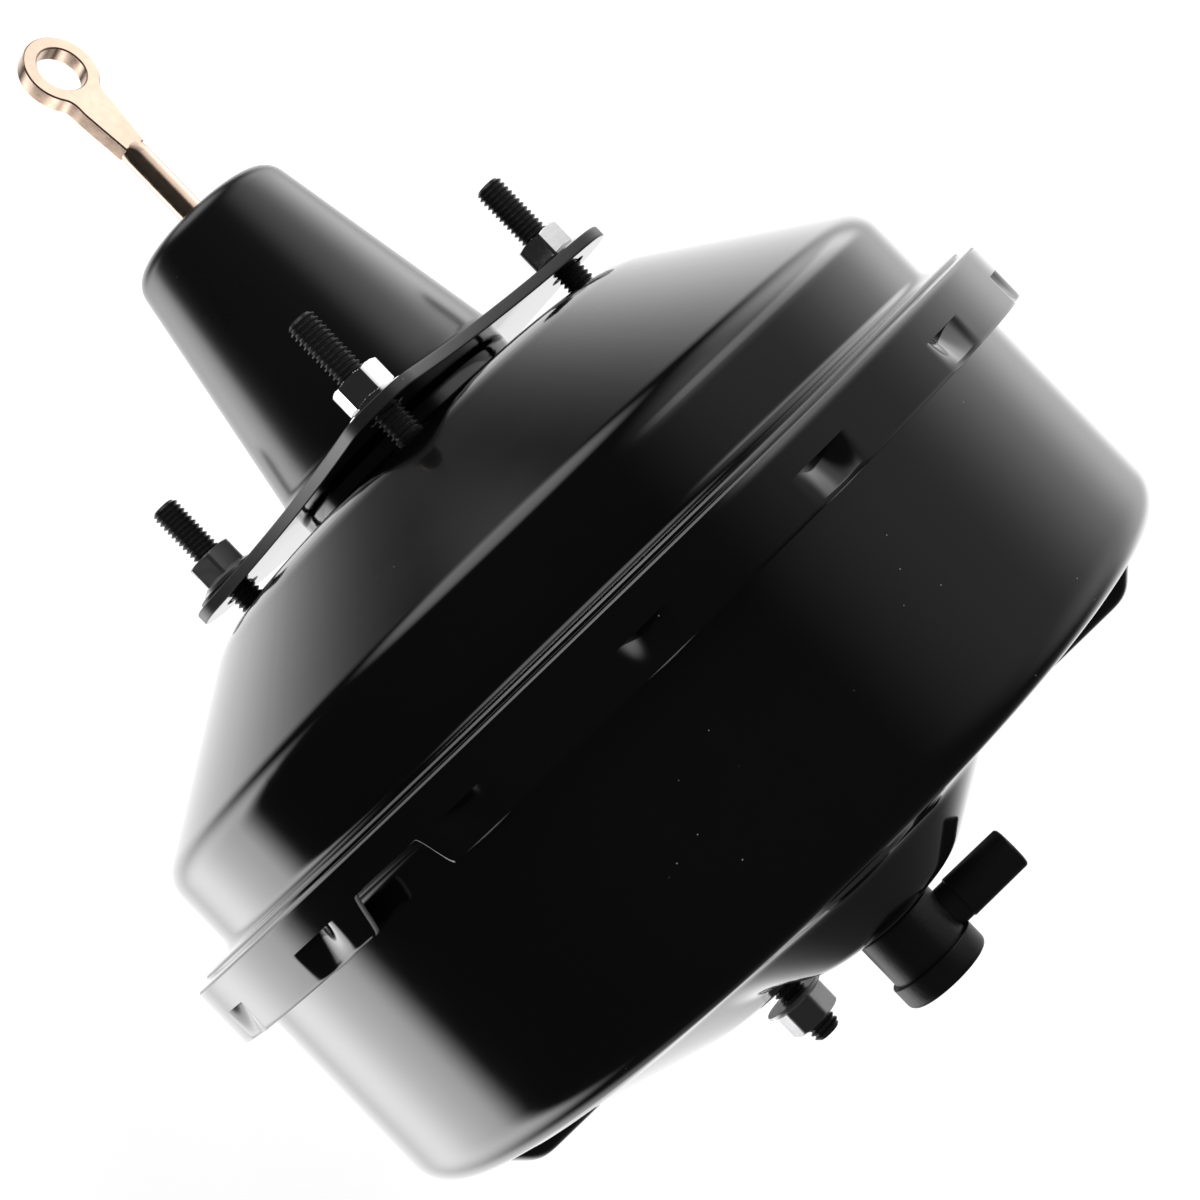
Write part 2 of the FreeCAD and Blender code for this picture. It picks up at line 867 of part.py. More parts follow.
def plate_retainers():
    """Toothed rings pressed on the hub behind each diaphragm's inner edge."""
    rings = []
    for plate_x, inner in ((primary_x, hub_radius), (secondary_x, hub_mid_radius)):
        end = plate_x - rubber
        rings.append(ring(inner + retainer_width, inner, end - retainer_thickness, end))
    return Part.makeCompound(rings)


# Valve hub: the moulded body of the power piston
def valve_hub():
    bore = plunger_radius + running_gap
    nose_bore = nose_radius + 0.3
    shoulder_1 = primary_shoulder_x
    shoulder_2 = secondary_shoulder_x
    plunger_end = plunger_x + hub_plunger_depth
    hub = turned(
        [
            (hub_rear_x, hub_bore),
            (hub_rear_x, hub_radius, 0.8),
            (shoulder_1, hub_radius),
            (shoulder_1, hub_shoulder_radius),
            (shoulder_1 + hub_shoulder, hub_shoulder_radius, 1.0),
            (shoulder_1 + hub_shoulder, hub_mid_radius),
            (shoulder_2, hub_mid_radius),
            (shoulder_2, hub_shoulder_radius),
            (shoulder_2 + hub_shoulder, hub_shoulder_radius, 1.0),
            (shoulder_2 + hub_shoulder, disc_radius + cup_wall),
            (hub_front_x, disc_radius + cup_wall, 0.6),
            (hub_front_x, disc_radius),
            (disc_x, disc_radius),
            (disc_x, nose_bore),
            (plunger_end, nose_bore),
            (plunger_end, bore),
            (plunger_x, bore),
            (plunger_x, bore + 1.6),
            (poppet_face_x + seat_lift, bore + 2.2),
            (plunger_x, bore + 2.8),
            (plunger_x, hub_bore),
        ]
    )
    passage_radius = (hub_bore + bore) / 2 + 1.0
    for i in range(3):
        angle = 60 + 120 * i
        passage = rod_along_x(2.0, plunger_x - 1, primary_shoulder_x + 14, 0, passage_radius)
        port = Part.makeCylinder(2.0, 12, Vector(primary_shoulder_x + 12, 0, passage_radius - 1))
        for cutter in (passage, port):
            cutter.rotate(origin, axis_x, angle)
            hub = hub.cut(cutter)
    slot = Part.makeBox(
        key_thickness + 2 * running_gap,
        key_width + 0.4,
        hub_radius + key_width,
        Vector(key_x - running_gap, -key_width / 2 - 0.2, -key_width / 2),
    )
    return hub.cut(slot).removeSplitter()


def stop_key():
    """Forked key through the hub that holds the plunger in its bore."""
    blade = Part.makeBox(
        key_thickness,
        key_width,
        hub_radius + key_width / 2 + 3.0,
        Vector(key_x, -key_width / 2, -key_width / 2 + 0.3),
    )
    gap = plunger_neck_radius + 0.4
    fork = Part.makeBox(
        key_thickness + 2,
        2 * gap,
        key_width,
        Vector(key_x - 1, -gap, -key_width),
    )
    eye = rod_along_x(gap, key_x - 1, key_x + key_thickness + 1)
    return blade.cut(fork).cut(eye)


def plunger():
    groove_start = key_x - plunger_travel - plunger_end_gap
    groove_end = key_x + key_thickness + plunger_end_gap
    land_end = groove_end + plunger_land
    nose_end = disc_x - plunger_travel - plunger_end_gap
    body = turned(
        [
            (plunger_x - plunger_rim, 0),
            (plunger_x - plunger_rim, plunger_radius, 0.4),
            (groove_start, plunger_radius),
            (groove_start, plunger_neck_radius),
            (groove_end, plunger_neck_radius),
            (groove_end, plunger_radius),
            (land_end, plunger_radius),
            (land_end, nose_radius),
            (nose_end, nose_radius, 1.0),
            (nose_end, 0),
        ]
    )
    socket = Part.makeSphere(ball_radius + 0.1, Vector(ball_x, 0, 0))
    mouth = rod_along_x(retainer_bore(), plunger_x - 2, ball_x - 2.4)
    return body.cut(socket.fuse(mouth))


def retainer_bore():
    """Radius of the plunger's mouth, which the ball retainer turns in."""
    return ball_radius + 1.7


def ball_retainer():
    """Ring that holds the push rod's ball in the plunger."""
    blank = rod_along_x(retainer_bore() - 0.1, plunger_x + 0.4, ball_x - 2.6)
    bore = rod_along_x(rod_radius + 0.75, plunger_x - 1, ball_x)
    return blank.cut(bore).cut(Part.makeSphere(ball_radius + 0.1, Vector(ball_x, 0, 0)))


def push_rod():
    ball = Part.makeSphere(ball_radius, Vector(ball_x, 0, 0))
    shaft = rod_along_x(rod_radius, flat_end_x, ball_x)
    collar = rod_along_x(rod_collar_radius, rod_collar_x - rod_collar_thickness, rod_collar_x)
    half_neck = flat_neck_width / 2
    shoulder_x = eye_x + eye_radius * 0.72
    half_shoulder = math.sqrt(eye_radius**2 - (shoulder_x - eye_x) ** 2)
    outline = [
        Vector(shoulder_x, half_shoulder, -eye_thickness / 2),
        Vector(flat_neck_x, half_neck, -eye_thickness / 2),
        Vector(flat_end_x, rod_radius, -eye_thickness / 2),
        Vector(flat_end_x, -rod_radius, -eye_thickness / 2),
        Vector(flat_neck_x, -half_neck, -eye_thickness / 2),
        Vector(shoulder_x, -half_shoulder, -eye_thickness / 2),
    ]
    blade = Part.Face(Part.makePolygon(outline + [outline[0]])).extrude(Vector(0, 0, eye_thickness))
    eye = Part.makeCylinder(eye_radius, eye_thickness, Vector(eye_x, 0, -eye_thickness / 2))
    flat = blade.fuse(eye).removeSplitter()
    rims = [e for e in flat.Edges if e.BoundBox.ZLength < 0.001]
    flat = flat.makeFillet(flat_edge_round, rims)
    root_start = Vector(flat_end_x - flat_root_overlap, 0, 0)
    root = Part.makeCone(eye_thickness / 2, rod_radius, flat_root_length, root_start, axis_x)
    hole = Part.makeCylinder(eye_hole_radius, eye_thickness + 2, Vector(eye_x, 0, -eye_thickness / 2 - 1))
    return ball.fuse([shaft, collar, root, flat]).cut(hole).removeSplitter()


# Small parts of the control valve
def poppet_valve():
    face_x = poppet_face_x
    return turned(
        [
            (face_x, ball_radius + 1.9),
            (face_x, hub_bore - 1.6),
            (face_x - 2.0, hub_bore - 1.6),
            (face_x - 2.0, hub_bore - 3.4),
            (face_x - 10.5, hub_bore - 2.2),
            (face_x - 12.0, hub_bore - 0.2),
            (face_x - 14.2, hub_bore - 0.2),
            (face_x - 14.2, hub_bore - 3.2),
            (face_x - 10.8, hub_bore - 3.7),
            (face_x - 2.6, hub_bore - 4.9),
            (face_x - 2.0, ball_radius + 1.9),
        ]
    )


def poppet_retainer():
    end = poppet_face_x - 14.2
    return turned(
        [
            (end - 3.0, hub_bore - 1.6),
            (end - 3.0, hub_bore - 0.05),
            (end, hub_bore - 0.05),
            (end, rod_spring_radius - 1.0),
            (end - 1.2, rod_spring_radius - 1.0),
            (end - 1.2, hub_bore - 1.6),
        ]
    )


def poppet_spring():
    start = poppet_face_x - 14.2
    return coil(poppet_spring_radius, 0.5, 3, start, plunger_x - 3.9)


def rod_return_spring():
    end = poppet_face_x - 14.2 - 1.2
    return coil(rod_spring_radius, 0.7, 3, rod_collar_x, end)


def air_filter():
    return ring(hub_bore - 0.15, rod_radius + 2.5, hub_rear_x + 0.8, hub_rear_x + 18.0)


# Reaction disc, output rod and its retainer
def reaction_disc():
    return rod_along_x(disc_radius - 0.05, disc_x, disc_x + disc_thickness)


def output_rod():
    flange_start = disc_x + disc_thickness
    flange_end = flange_start + output_rod_flange
    end_start = output_rod_tip_x - output_rod_tip_round - output_rod_end_length
    return turned(
        [
            (flange_start, 0),
            (flange_start, disc_radius - seat_gap),
            (flange_end, disc_radius - seat_gap, rod_flange_edge),
            (flange_end, output_rod_radius + output_rod_root, 3.0),
            (flange_end + output_rod_root_length, output_shaft_radius),
            (end_start, output_shaft_radius),
            (end_start, output_rod_radius),
            (output_rod_tip_x, output_rod_radius, output_rod_tip_round),
            (output_rod_tip_x, 0),
        ]
    )


def output_rod_retainer():
    """Cap pressed over the hub's nose that keeps the output rod's flange in its cup."""
    outer = disc_radius + cup_wall
    front = hub_front_x
    flange_front = disc_x + disc_thickness + output_rod_flange
    return turned(
        [
            (front - 4.0, outer),
            (front - 4.0, outer + retainer_cap),
            (front + retainer_cap, outer + retainer_cap, 0.6),
            (front + retainer_cap, retainer_hole),
            (flange_front, retainer_hole),
            (flange_front, retainer_hole + retainer_cap),
            (front, retainer_hole + retainer_cap),
            (front, outer),
        ]
    )


def return_spring():
    start = secondary_x + plate_sheet
    end = pad_inner_x - reinforcement
    return coil(hub_shoulder_radius + return_wire_radius + 0.3, return_wire_radius, 4, start, end)


# Check valve: grommet, elbow, cap, disc and spring
def on_valve(shape):
    """Move a piece built on the booster axis to the check valve's axis."""
    shape.translate(Vector(0, valve_y, valve_z))
    return shape


def check_valve_grommet():
    spigot = valve_spigot_radius
    return on_valve(
        turned(
            [
                (boss_x - sheet - 2.6, spigot),
                (boss_x - sheet - 2.6, grommet_radius - 0.6),
                (boss_x - sheet, grommet_radius + 0.4),
                (boss_x - sheet, grommet_hole),
                (boss_x, grommet_hole),
                (boss_x, grommet_radius),
                (boss_x + grommet_flange, grommet_radius, 0.7),
                (boss_x + grommet_flange, spigot),
            ]
        )
    )


def check_valve_elbow():
    seat = valve_seat_x
    end = seat + valve_body_length
    cavity = valve_body_radius - valve_wall
    spigot = valve_spigot_radius - running_gap
    spigot_end = boss_x - sheet - barb_inset
    barb_x = boss_x - sheet - 2.7
    body = turned(
        [
            (spigot_end, valve_throat),
            (spigot_end, spigot - 1.0),
            (barb_x - 0.3, spigot + barb_height),
            (barb_x, spigot),
            (seat + running_gap, spigot),
            (seat + running_gap, valve_body_radius, 0.6),
            (end, valve_body_radius),
            (end, cavity),
            (seat + valve_floor, cavity),
            (seat + valve_floor, valve_throat),
        ]
    )
    across = Vector(0, 1, 0)
    start = Vector(seat + nipple_height, cavity - 1.5, 0)
    root = Part.makeCylinder(nipple_root_radius, nipple_length - start.y - 2, start, across)
    fit_length = nipple_fit_length + nipple_tip_round
    fit_start = Vector(start.x, nipple_length - fit_length, 0)
    nipple = Part.makeCylinder(nipple_radius, fit_length, fit_start, across)
    tip = [e for e in nipple.Edges if e.BoundBox.YMin > nipple_length - 0.01]
    nipple = nipple.makeFillet(nipple_tip_round, tip).fuse(root)
    nipple = nipple.cut(rod_along_x(cavity, seat, end + 2))
    nipple = nipple.cut(rod_along_x(valve_cap_radius + 0.2, end, end + valve_cap_length))
    start = Vector(seat + nipple_height, 1.0, 0)
    bore = Part.makeCylinder(nipple_bore, nipple_length, start, across)
    elbow = body.fuse(nipple).cut(bore).removeSplitter()
    elbow.rotate(origin, axis_x, nipple_angle)
    return on_valve(elbow)


def check_valve_cap():
    start = valve_seat_x + valve_body_length
    cavity = valve_body_radius - valve_wall
    return on_valve(
        turned(
            [
                (start, 0),
                (start, valve_cap_radius, 0.5),
                (start + valve_cap_length, valve_cap_radius, 1.6),
                (start + valve_cap_length, 0),
            ]
        ).fuse(ring(cavity - 0.1, cavity - 1.6, start - 1.5, start + 0.5))
    )


def check_valve_disc():
    start = valve_seat_x + valve_floor + seat_gap
    return on_valve(rod_along_x(valve_disc_radius, start, start + valve_disc_thickness))


def check_valve_spring():
    start = valve_seat_x + valve_floor + seat_gap + valve_disc_thickness
    end = valve_seat_x + valve_body_length
    return on_valve(coil(valve_spring_radius, valve_wire_radius, 3, start, end))


nodes = {
    "rear_shell": rear_shell,
    "front_shell": front_shell,
    "mounting_plate": mounting_plate,
    "snout_cover": snout_cover,
    "firewall_studs": firewall_studs,
    "firewall_nuts": firewall_nuts,
    "stud_washer": stud_washer,
    "rear_reinforcement": rear_reinforcement,
    "front_reinforcement": front_reinforcement,
    "master_cylinder_studs": master_cylinder_studs,
    "master_cylinder_nuts": master_cylinder_nuts,
    "divider": divider,
    "divider_bearing": divider_bearing,
    "divider_seal": divider_seal,
    "rear_bearing": rear_bearing,
    "rear_seal": rear_seal,
    "seal_retainer": seal_retainer,
    "front_seal": front_seal,
    "primary_diaphragm": primary_diaphragm,
    "secondary_diaphragm": secondary_diaphragm,
    "primary_plate": primary_plate,
    "secondary_plate": secondary_plate,
    "plate_retainers": plate_retainers,
    "valve_hub": valve_hub,
    "stop_key": stop_key,
    "plunger": plunger,
    "ball_retainer": ball_retainer,
    "push_rod": push_rod,
    "poppet_valve": poppet_valve,
    "poppet_retainer": poppet_retainer,
    "poppet_spring": poppet_spring,
    "rod_return_spring": rod_return_spring,
    "air_filter": air_filter,
    "reaction_disc": reaction_disc,
    "output_rod": output_rod,
    "output_rod_retainer": output_rod_retainer,
    "return_spring": return_spring,
    "check_valve_grommet": check_valve_grommet,
    "check_valve_elbow": check_valve_elbow,
    "check_valve_cap": check_valve_cap,
    "check_valve_disc": check_valve_disc,
    "check_valve_spring": check_valve_spring,
}

os.makedirs("parts", exist_ok=True)
for name, make in nodes.items():
    save(name, make())
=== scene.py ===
import json
import math

import bpy
from mathutils import Matrix, Vector

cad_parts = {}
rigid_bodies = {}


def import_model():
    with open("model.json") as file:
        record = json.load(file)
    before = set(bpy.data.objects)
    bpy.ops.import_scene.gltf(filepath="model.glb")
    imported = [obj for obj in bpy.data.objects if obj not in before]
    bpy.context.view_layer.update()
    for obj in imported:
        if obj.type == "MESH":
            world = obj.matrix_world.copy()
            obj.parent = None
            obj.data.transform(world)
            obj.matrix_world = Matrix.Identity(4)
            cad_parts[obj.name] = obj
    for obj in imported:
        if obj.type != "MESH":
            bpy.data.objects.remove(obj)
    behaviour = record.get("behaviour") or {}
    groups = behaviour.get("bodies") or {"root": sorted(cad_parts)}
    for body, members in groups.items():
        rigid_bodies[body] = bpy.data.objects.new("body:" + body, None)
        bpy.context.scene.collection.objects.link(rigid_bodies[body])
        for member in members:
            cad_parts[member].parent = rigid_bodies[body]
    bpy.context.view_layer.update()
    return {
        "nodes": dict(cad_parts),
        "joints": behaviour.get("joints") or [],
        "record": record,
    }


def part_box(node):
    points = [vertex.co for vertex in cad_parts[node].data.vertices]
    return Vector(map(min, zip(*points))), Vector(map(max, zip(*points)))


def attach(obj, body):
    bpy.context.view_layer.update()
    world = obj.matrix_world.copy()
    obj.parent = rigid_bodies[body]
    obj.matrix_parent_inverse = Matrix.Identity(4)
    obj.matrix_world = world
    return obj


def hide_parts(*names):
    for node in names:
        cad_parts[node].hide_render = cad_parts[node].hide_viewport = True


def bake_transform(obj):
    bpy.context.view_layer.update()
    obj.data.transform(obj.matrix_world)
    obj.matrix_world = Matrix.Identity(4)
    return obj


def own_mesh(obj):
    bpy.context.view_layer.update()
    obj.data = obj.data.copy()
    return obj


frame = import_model()

# Rear shell. One deep-drawn steel pressing in gloss black paint: a neck, a flat rear face, a cone,
# a short wall, and the flange and skirt that are rolled over the front shell. Tongues are lanced
# inward all round the skirt to lock the joint, and two notches in its edge locate the assembly tool.
MM = 0.001
NEAR = 0.01
SHEET = 1.6
NECK_START = 3.2
NECK_RADIUS = 35.7
NECK_BEND = 1.5
REAR_FACE = 10.7
CONE_START_RADIUS = 70.2
CONE_BEND = 26.0
CONE_SLOPE = 1.5
REAR_WALL_RADIUS = 123.0
SHOULDER_BEND = 9.0
WALL_BEND = 3.0
FLANGE_REAR = 69.4
CREASE = FLANGE_REAR - 0.6
CREASE_BAND = 2.0
SEAM = FLANGE_REAR + 0.8
SEAM_RADIUS = 133.0
SEAM_INNER = 0.55
SEAM_OUTER = 0.4
SKIRT_RADIUS = 136.5
SKIRT_START = FLANGE_REAR + 2.9
SKIRT_END = 87.5
INNER_EDGE = ((FLANGE_REAR - 0.2, SEAM_RADIUS - 1.2), (FLANGE_REAR + 0.3, SEAM_RADIUS - 0.6))
OUTER_EDGE = ((FLANGE_REAR + 1.4, SKIRT_RADIUS - 0.75), (FLANGE_REAR + 1.9, SKIRT_RADIUS - 0.15))
LANCE_COUNT = 16
LANCE_FIRST = 16.9
LANCE_REAR = 78.8
LANCE_SHEAR = 0.06
LANCE_DEPTH = 3.1
LANCE_FADE = 0.7
LANCE_HALF_FLOOR = 0.4
LANCE_HALF_MOUTH = 9.2
LANCE_STEPS = 14
LANCE_ROWS = 8
NOTCH_ANGLES = (162.0, 342.0)
NOTCH_START = FLANGE_REAR + 5.0
NOTCH_DEPTH = 9.2
NOTCH_HALF_FLOOR = 10.7
NOTCH_HALF_MOUTH = 14.2
NOTCH_STEPS = 10
REAR_COLUMNS = 288
COLUMN_GAP = 0.3
REAR_SPACING = 1.6


def bent(corners, steps=7, spacing=1000.0):
    """Points along straight runs through (x, r, bend radius) corners, with round bends."""
    points = []
    for i, corner in enumerate(corners):
        here = Vector(corner[:2])
        radius = corner[2] if len(corner) > 2 else 0.0
        if radius == 0.0 or i in (0, len(corners) - 1):
            points.append(here)
            continue
        back = (Vector(corners[i - 1][:2]) - here).normalized()
        ahead = (Vector(corners[i + 1][:2]) - here).normalized()
        half = back.angle(ahead) / 2
        middle = here + (back + ahead).normalized() * (radius / math.sin(half))
        first = here + back * (radius / math.tan(half)) - middle
        last = here + ahead * (radius / math.tan(half)) - middle
        sweep = first.angle(last)
        for k in range(steps + 1):
            part = sweep * k / steps
            arm = (first * math.sin(sweep - part) + last * math.sin(part)) / math.sin(sweep)
            points.append(middle + arm)
    least_share = 0.3
    touching = 1e-5
    filled = [points[0]]
    for point in points[1:]:
        start = filled[-1]
        gap = (point - start).length
        for k in range(1, int(gap / spacing) + 1):
            if gap - k * spacing > spacing * least_share:
                filled.append(start.lerp(point, k * spacing / gap))
        if gap > touching:
            filled.append(point)
    return [(p.x, p.y) for p in filled]


def smooth_piece(name, mesh, sharp=32.0):
    """A new object from a mesh, smooth-shaded with hard edges above an angle."""
    mesh.name = name
    mesh.polygons.foreach_set("use_smooth", [True] * len(mesh.polygons))
    mesh.set_sharp_from_angle(angle=math.radians(sharp))
    piece = bpy.data.objects.new(name, mesh)
    bpy.context.scene.collection.objects.link(piece)
    return piece


def mesh_piece(name, vertices, faces, sharp=32.0):
    """A new object from vertices in millimetres."""
    mesh = bpy.data.meshes.new(name)
    mesh.from_pydata([Vector(v) * MM for v in vertices], [], faces)
    mesh.validate()
    mesh.update()
    return smooth_piece(name, mesh, sharp)


def even_angles(count):
    """Angles evenly round a full turn."""
    return [360.0 * k / count for k in range(count)]


def turned(name, path, angles=None, form=None, place=None, sharp=32.0, closed=False):
    """Surface turned about X from an (x, r) path; form bends each point, place moves the piece."""
    angles = angles or even_angles(96)
    rows = len(path)
    vertices = []
    for angle in angles:
        a = math.radians(angle)
        for x, r in path:
            if form:
                x, r = form(x, r, angle)
            vertices.append(Vector((x, r * math.cos(a), r * math.sin(a))))
    if place:
        vertices = [place @ v for v in vertices]
    faces = []
    steps = rows if closed else rows - 1
    for i in range(len(angles)):
        here = i * rows
        there = (i + 1) % len(angles) * rows
        for j in range(steps):
            k = (j + 1) % rows
            faces.append((here + j, there + j, there + k, here + k))
    return mesh_piece(name, vertices, faces, sharp)


def solid_sheet(piece, thickness):
    """Gives a pressed sheet its thickness on the inner side."""
    modifier = piece.modifiers.new("sheet", "SOLIDIFY")
    modifier.thickness = thickness * MM
    modifier.offset = -1.0
    return modifier


def add(tree, kind, values=None, **settings):
    """A node with its settings and its input values or links."""
    node = tree.nodes.new(kind)
    for key, value in settings.items():
        setattr(node, key, value)
    for key, value in (values or {}).items():
        socket = node.inputs[key]
        if isinstance(value, bpy.types.NodeSocket):
            tree.links.new(value, socket)
        else:
            socket.default_value = value
    return node


def maths(tree, operation, a, b):
    """The result of one operation on two values."""
    return add(tree, "ShaderNodeMath", {0: a, 1: b}, operation=operation).outputs[0]


def paint_surface_group():
    """Orange peel, fine scuffs and dust of sprayed paint."""
    tree = bpy.data.node_groups.new("sprayed_paint", "ShaderNodeTree")
    for name, default in (("Peel Scale", 220.0), ("Dust Scale", 260.0), ("Dust Amount", 0.045)):
        socket = tree.interface.new_socket(name, in_out="INPUT", socket_type="NodeSocketFloat")
        socket.default_value = default
    for name in ("Height", "Dust", "Scuff"):
        tree.interface.new_socket(name, in_out="OUTPUT", socket_type="NodeSocketFloat")
    start = tree.nodes.new("NodeGroupInput").outputs
    end = tree.nodes.new("NodeGroupOutput").inputs
    where = add(tree, "ShaderNodeTexCoord").outputs["Object"]
    peel = add(tree, "ShaderNodeTexNoise", {"Vector": where, "Scale": start["Peel Scale"], "Detail": 2.0})
    cells = add(tree, "ShaderNodeTexVoronoi", {"Vector": where, "Scale": start["Dust Scale"]})
    speck = maths(tree, "LESS_THAN", cells.outputs["Distance"], start["Dust Amount"])
    patch = add(tree, "ShaderNodeTexNoise", {"Vector": where, "Scale": 30.0, "Detail": 3.0})
    sparse = maths(tree, "GREATER_THAN", patch.outputs["Fac"], 0.6)
    scuff = add(
        tree,
        "ShaderNodeTexNoise",
        {"Vector": where, "Scale": 14.0, "Detail": 6.0, "Roughness": 0.7},
    )
    tree.links.new(peel.outputs["Fac"], end["Height"])
    tree.links.new(maths(tree, "MULTIPLY", speck, sparse), end["Dust"])
    tree.links.new(scuff.outputs["Fac"], end["Scuff"])
    return tree


sprayed_paint = paint_surface_group()


def new_material(name):
    """A material with its node tree and its shader."""
    material = bpy.data.materials.new(name)
    material.use_nodes = True
    return material, material.node_tree, material.node_tree.nodes["Principled BSDF"]


def dress(tree, shader, mask, colours, wear, worn, rough, height, strength, distance):
    """Colour spread over a mask, roughness spread over the wear, and a fine bump."""
    tint = add(
        tree,
        "ShaderNodeMix",
        {"Factor": mask, "A": (*colours[0], 1.0), "B": (*colours[1], 1.0)},
        data_type="RGBA",
    )
    spread = add(
        tree,
        "ShaderNodeMapRange",
        {
            "Value": wear,
            "From Min": worn[0],
            "From Max": worn[1],
            "To Min": rough[0],
            "To Max": rough[1],
        },
    )
    bump = add(tree, "ShaderNodeBump", {"Height": height, "Strength": strength, "Distance": distance})
    tree.links.new(tint.outputs["Result"], shader.inputs["Base Color"])
    tree.links.new(spread.outputs["Result"], shader.inputs["Roughness"])
    tree.links.new(bump.outputs["Normal"], shader.inputs["Normal"])


def paint(name, colour, rough, coat, coat_rough, peel):
    """Sprayed black paint: colour with dust, roughness with scuffs, and a light orange peel."""
    material, tree, shader = new_material(name)
    surface = add(tree, "ShaderNodeGroup", node_tree=sprayed_paint).outputs
    dress(
        tree,
        shader,
        mask=surface["Dust"],
        colours=(colour, (0.16, 0.16, 0.165)),
        wear=surface["Scuff"],
        worn=(0.3, 0.75),
        rough=rough,
        height=surface["Height"],
        strength=peel,
        distance=0.0002,
    )
    shader.inputs["IOR"].default_value = 1.5
    shader.inputs["Coat Weight"].default_value = coat
    shader.inputs["Coat Roughness"].default_value = coat_rough
    return material


def finish(piece, material, slot, body, *nodes):
    """Gives a new piece its material and its body, and hides the nodes it stands for; the slot argument
    is not used.
    """
    piece.data.materials.append(material)
    if nodes:
        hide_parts(*nodes)
    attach(piece, body)
    return piece


def skirt_angles():
    """Column angles, closer together at the lances and notches."""
    lance_flank = LANCE_HALF_MOUTH - LANCE_HALF_FLOOR
    notch_flank = NOTCH_HALF_MOUTH - NOTCH_HALF_FLOOR
    lances = [LANCE_FIRST + a for a in even_angles(LANCE_COUNT)]
    lance_offsets = [LANCE_HALF_FLOOR + lance_flank * k / LANCE_STEPS for k in range(LANCE_STEPS + 2)]
    notch_offsets = [NOTCH_HALF_FLOOR + notch_flank * k / NOTCH_STEPS for k in range(NOTCH_STEPS + 1)]
    per_mm = math.degrees(1 / SKIRT_RADIUS)
    marks = []
    for centres, offsets in ((lances, [0.0] + lance_offsets), (NOTCH_ANGLES, notch_offsets)):
        for centre in centres:
            for offset in offsets:
                marks += [centre - offset * per_mm, centre + offset * per_mm]
    marks = sorted({round(m % 360.0, 4) for m in marks})
    spare = [
        angle
        for angle in even_angles(REAR_COLUMNS)
        if min(abs((angle - m + 180) % 360 - 180) for m in marks) > COLUMN_GAP
    ]
    return sorted(marks + spare)


def ramp(value, low, high):
    """0 at low, 1 at high, with soft ends."""
    t = min(max((value - low) / (high - low), 0.0), 1.0)
    return t * t * (3 - 2 * t)


def skirt_form(x, r, angle):
    """Presses the lances in and cuts the notches into the skirt."""
    if r < SKIRT_RADIUS - NEAR:
        return x, r
    pitch = 360.0 / LANCE_COUNT
    off = (angle - LANCE_FIRST + pitch / 2) % pitch - pitch / 2
    across = abs(math.radians(off)) * SKIRT_RADIUS
    if x >= LANCE_REAR and across < LANCE_HALF_MOUTH:
        side = 1.0 - ramp(across, LANCE_HALF_FLOOR, LANCE_HALF_MOUTH)
        along = (x - LANCE_REAR) / (SKIRT_END - LANCE_REAR)
        r -= side * (LANCE_DEPTH + (LANCE_FADE - LANCE_DEPTH) * along)
    for notch in NOTCH_ANGLES:
        across = abs(math.radians((angle - notch + 180) % 360 - 180)) * SKIRT_RADIUS
        cut = NOTCH_DEPTH * (1.0 - ramp(across, NOTCH_HALF_FLOOR, NOTCH_HALF_MOUTH))
        if cut > 0 and x > NOTCH_START:
            run = SKIRT_END - NOTCH_START
            x = NOTCH_START + (x - NOTCH_START) * (run - cut) / run
    return x, r


gloss_black = paint(
    "gloss_black_paint",
    colour=(0.0015, 0.0015, 0.0016),
    rough=(0.09, 0.17),
    coat=1.0,
    coat_rough=0.05,
    peel=0.04,
)
# Painted highlight: a lighter grey paint that stands in for the thin highlight lines on the rounded edges
# beside the seam and along the cut edge of the skirt.
painted_highlight_grey = paint(
    "painted_highlight_edge",
    colour=(0.13, 0.13, 0.132),
    rough=(0.3, 0.42),
    coat=0.5,
    coat_rough=0.2,
    peel=0.1,
)
shoulder = REAR_FACE + (REAR_WALL_RADIUS - CONE_START_RADIUS) / CONE_SLOPE
rear_path = bent(
    [
        (NECK_START, NECK_RADIUS),
        (REAR_FACE, NECK_RADIUS, NECK_BEND),
        (REAR_FACE, CONE_START_RADIUS, CONE_BEND),
        (shoulder, REAR_WALL_RADIUS, SHOULDER_BEND),
        (CREASE, REAR_WALL_RADIUS, WALL_BEND),
        (CREASE, SEAM_RADIUS - CREASE_BAND),
        *INNER_EDGE,
        (SEAM, SEAM_RADIUS - SEAM_INNER),
        (SEAM, SEAM_RADIUS + SEAM_OUTER),
        *OUTER_EDGE,
        (SKIRT_START, SKIRT_RADIUS),
        (LANCE_REAR - LANCE_SHEAR, SKIRT_RADIUS),
    ],
    spacing=REAR_SPACING,
)
lance_run = SKIRT_END - LANCE_REAR
rear_path += [(LANCE_REAR + lance_run * k / LANCE_ROWS, SKIRT_RADIUS) for k in range(LANCE_ROWS + 1)]
rear_shell = turned("rear_shell_pressing", rear_path, skirt_angles(), skirt_form, sharp=35.0)
# The cut edge of the sheet takes the second material, the lighter grey of the painted highlight.
solid_sheet(rear_shell, SHEET).material_offset_rim = 1
finish(rear_shell, gloss_black, "shell_black", "housing", "rear_shell")
rear_shell.data.materials.append(painted_highlight_grey)
# Faces in the bands at the seam's rounded edges also take the lighter grey, as painted highlight lines.
for face in rear_shell.data.polygons:
    x = face.center.x / MM
    r = math.hypot(face.center.y, face.center.z) / MM
    if any(start[0] < x < end[0] and start[1] < r < end[1] for start, end in (INNER_EDGE, OUTER_EDGE)):
        face.material_index = 1

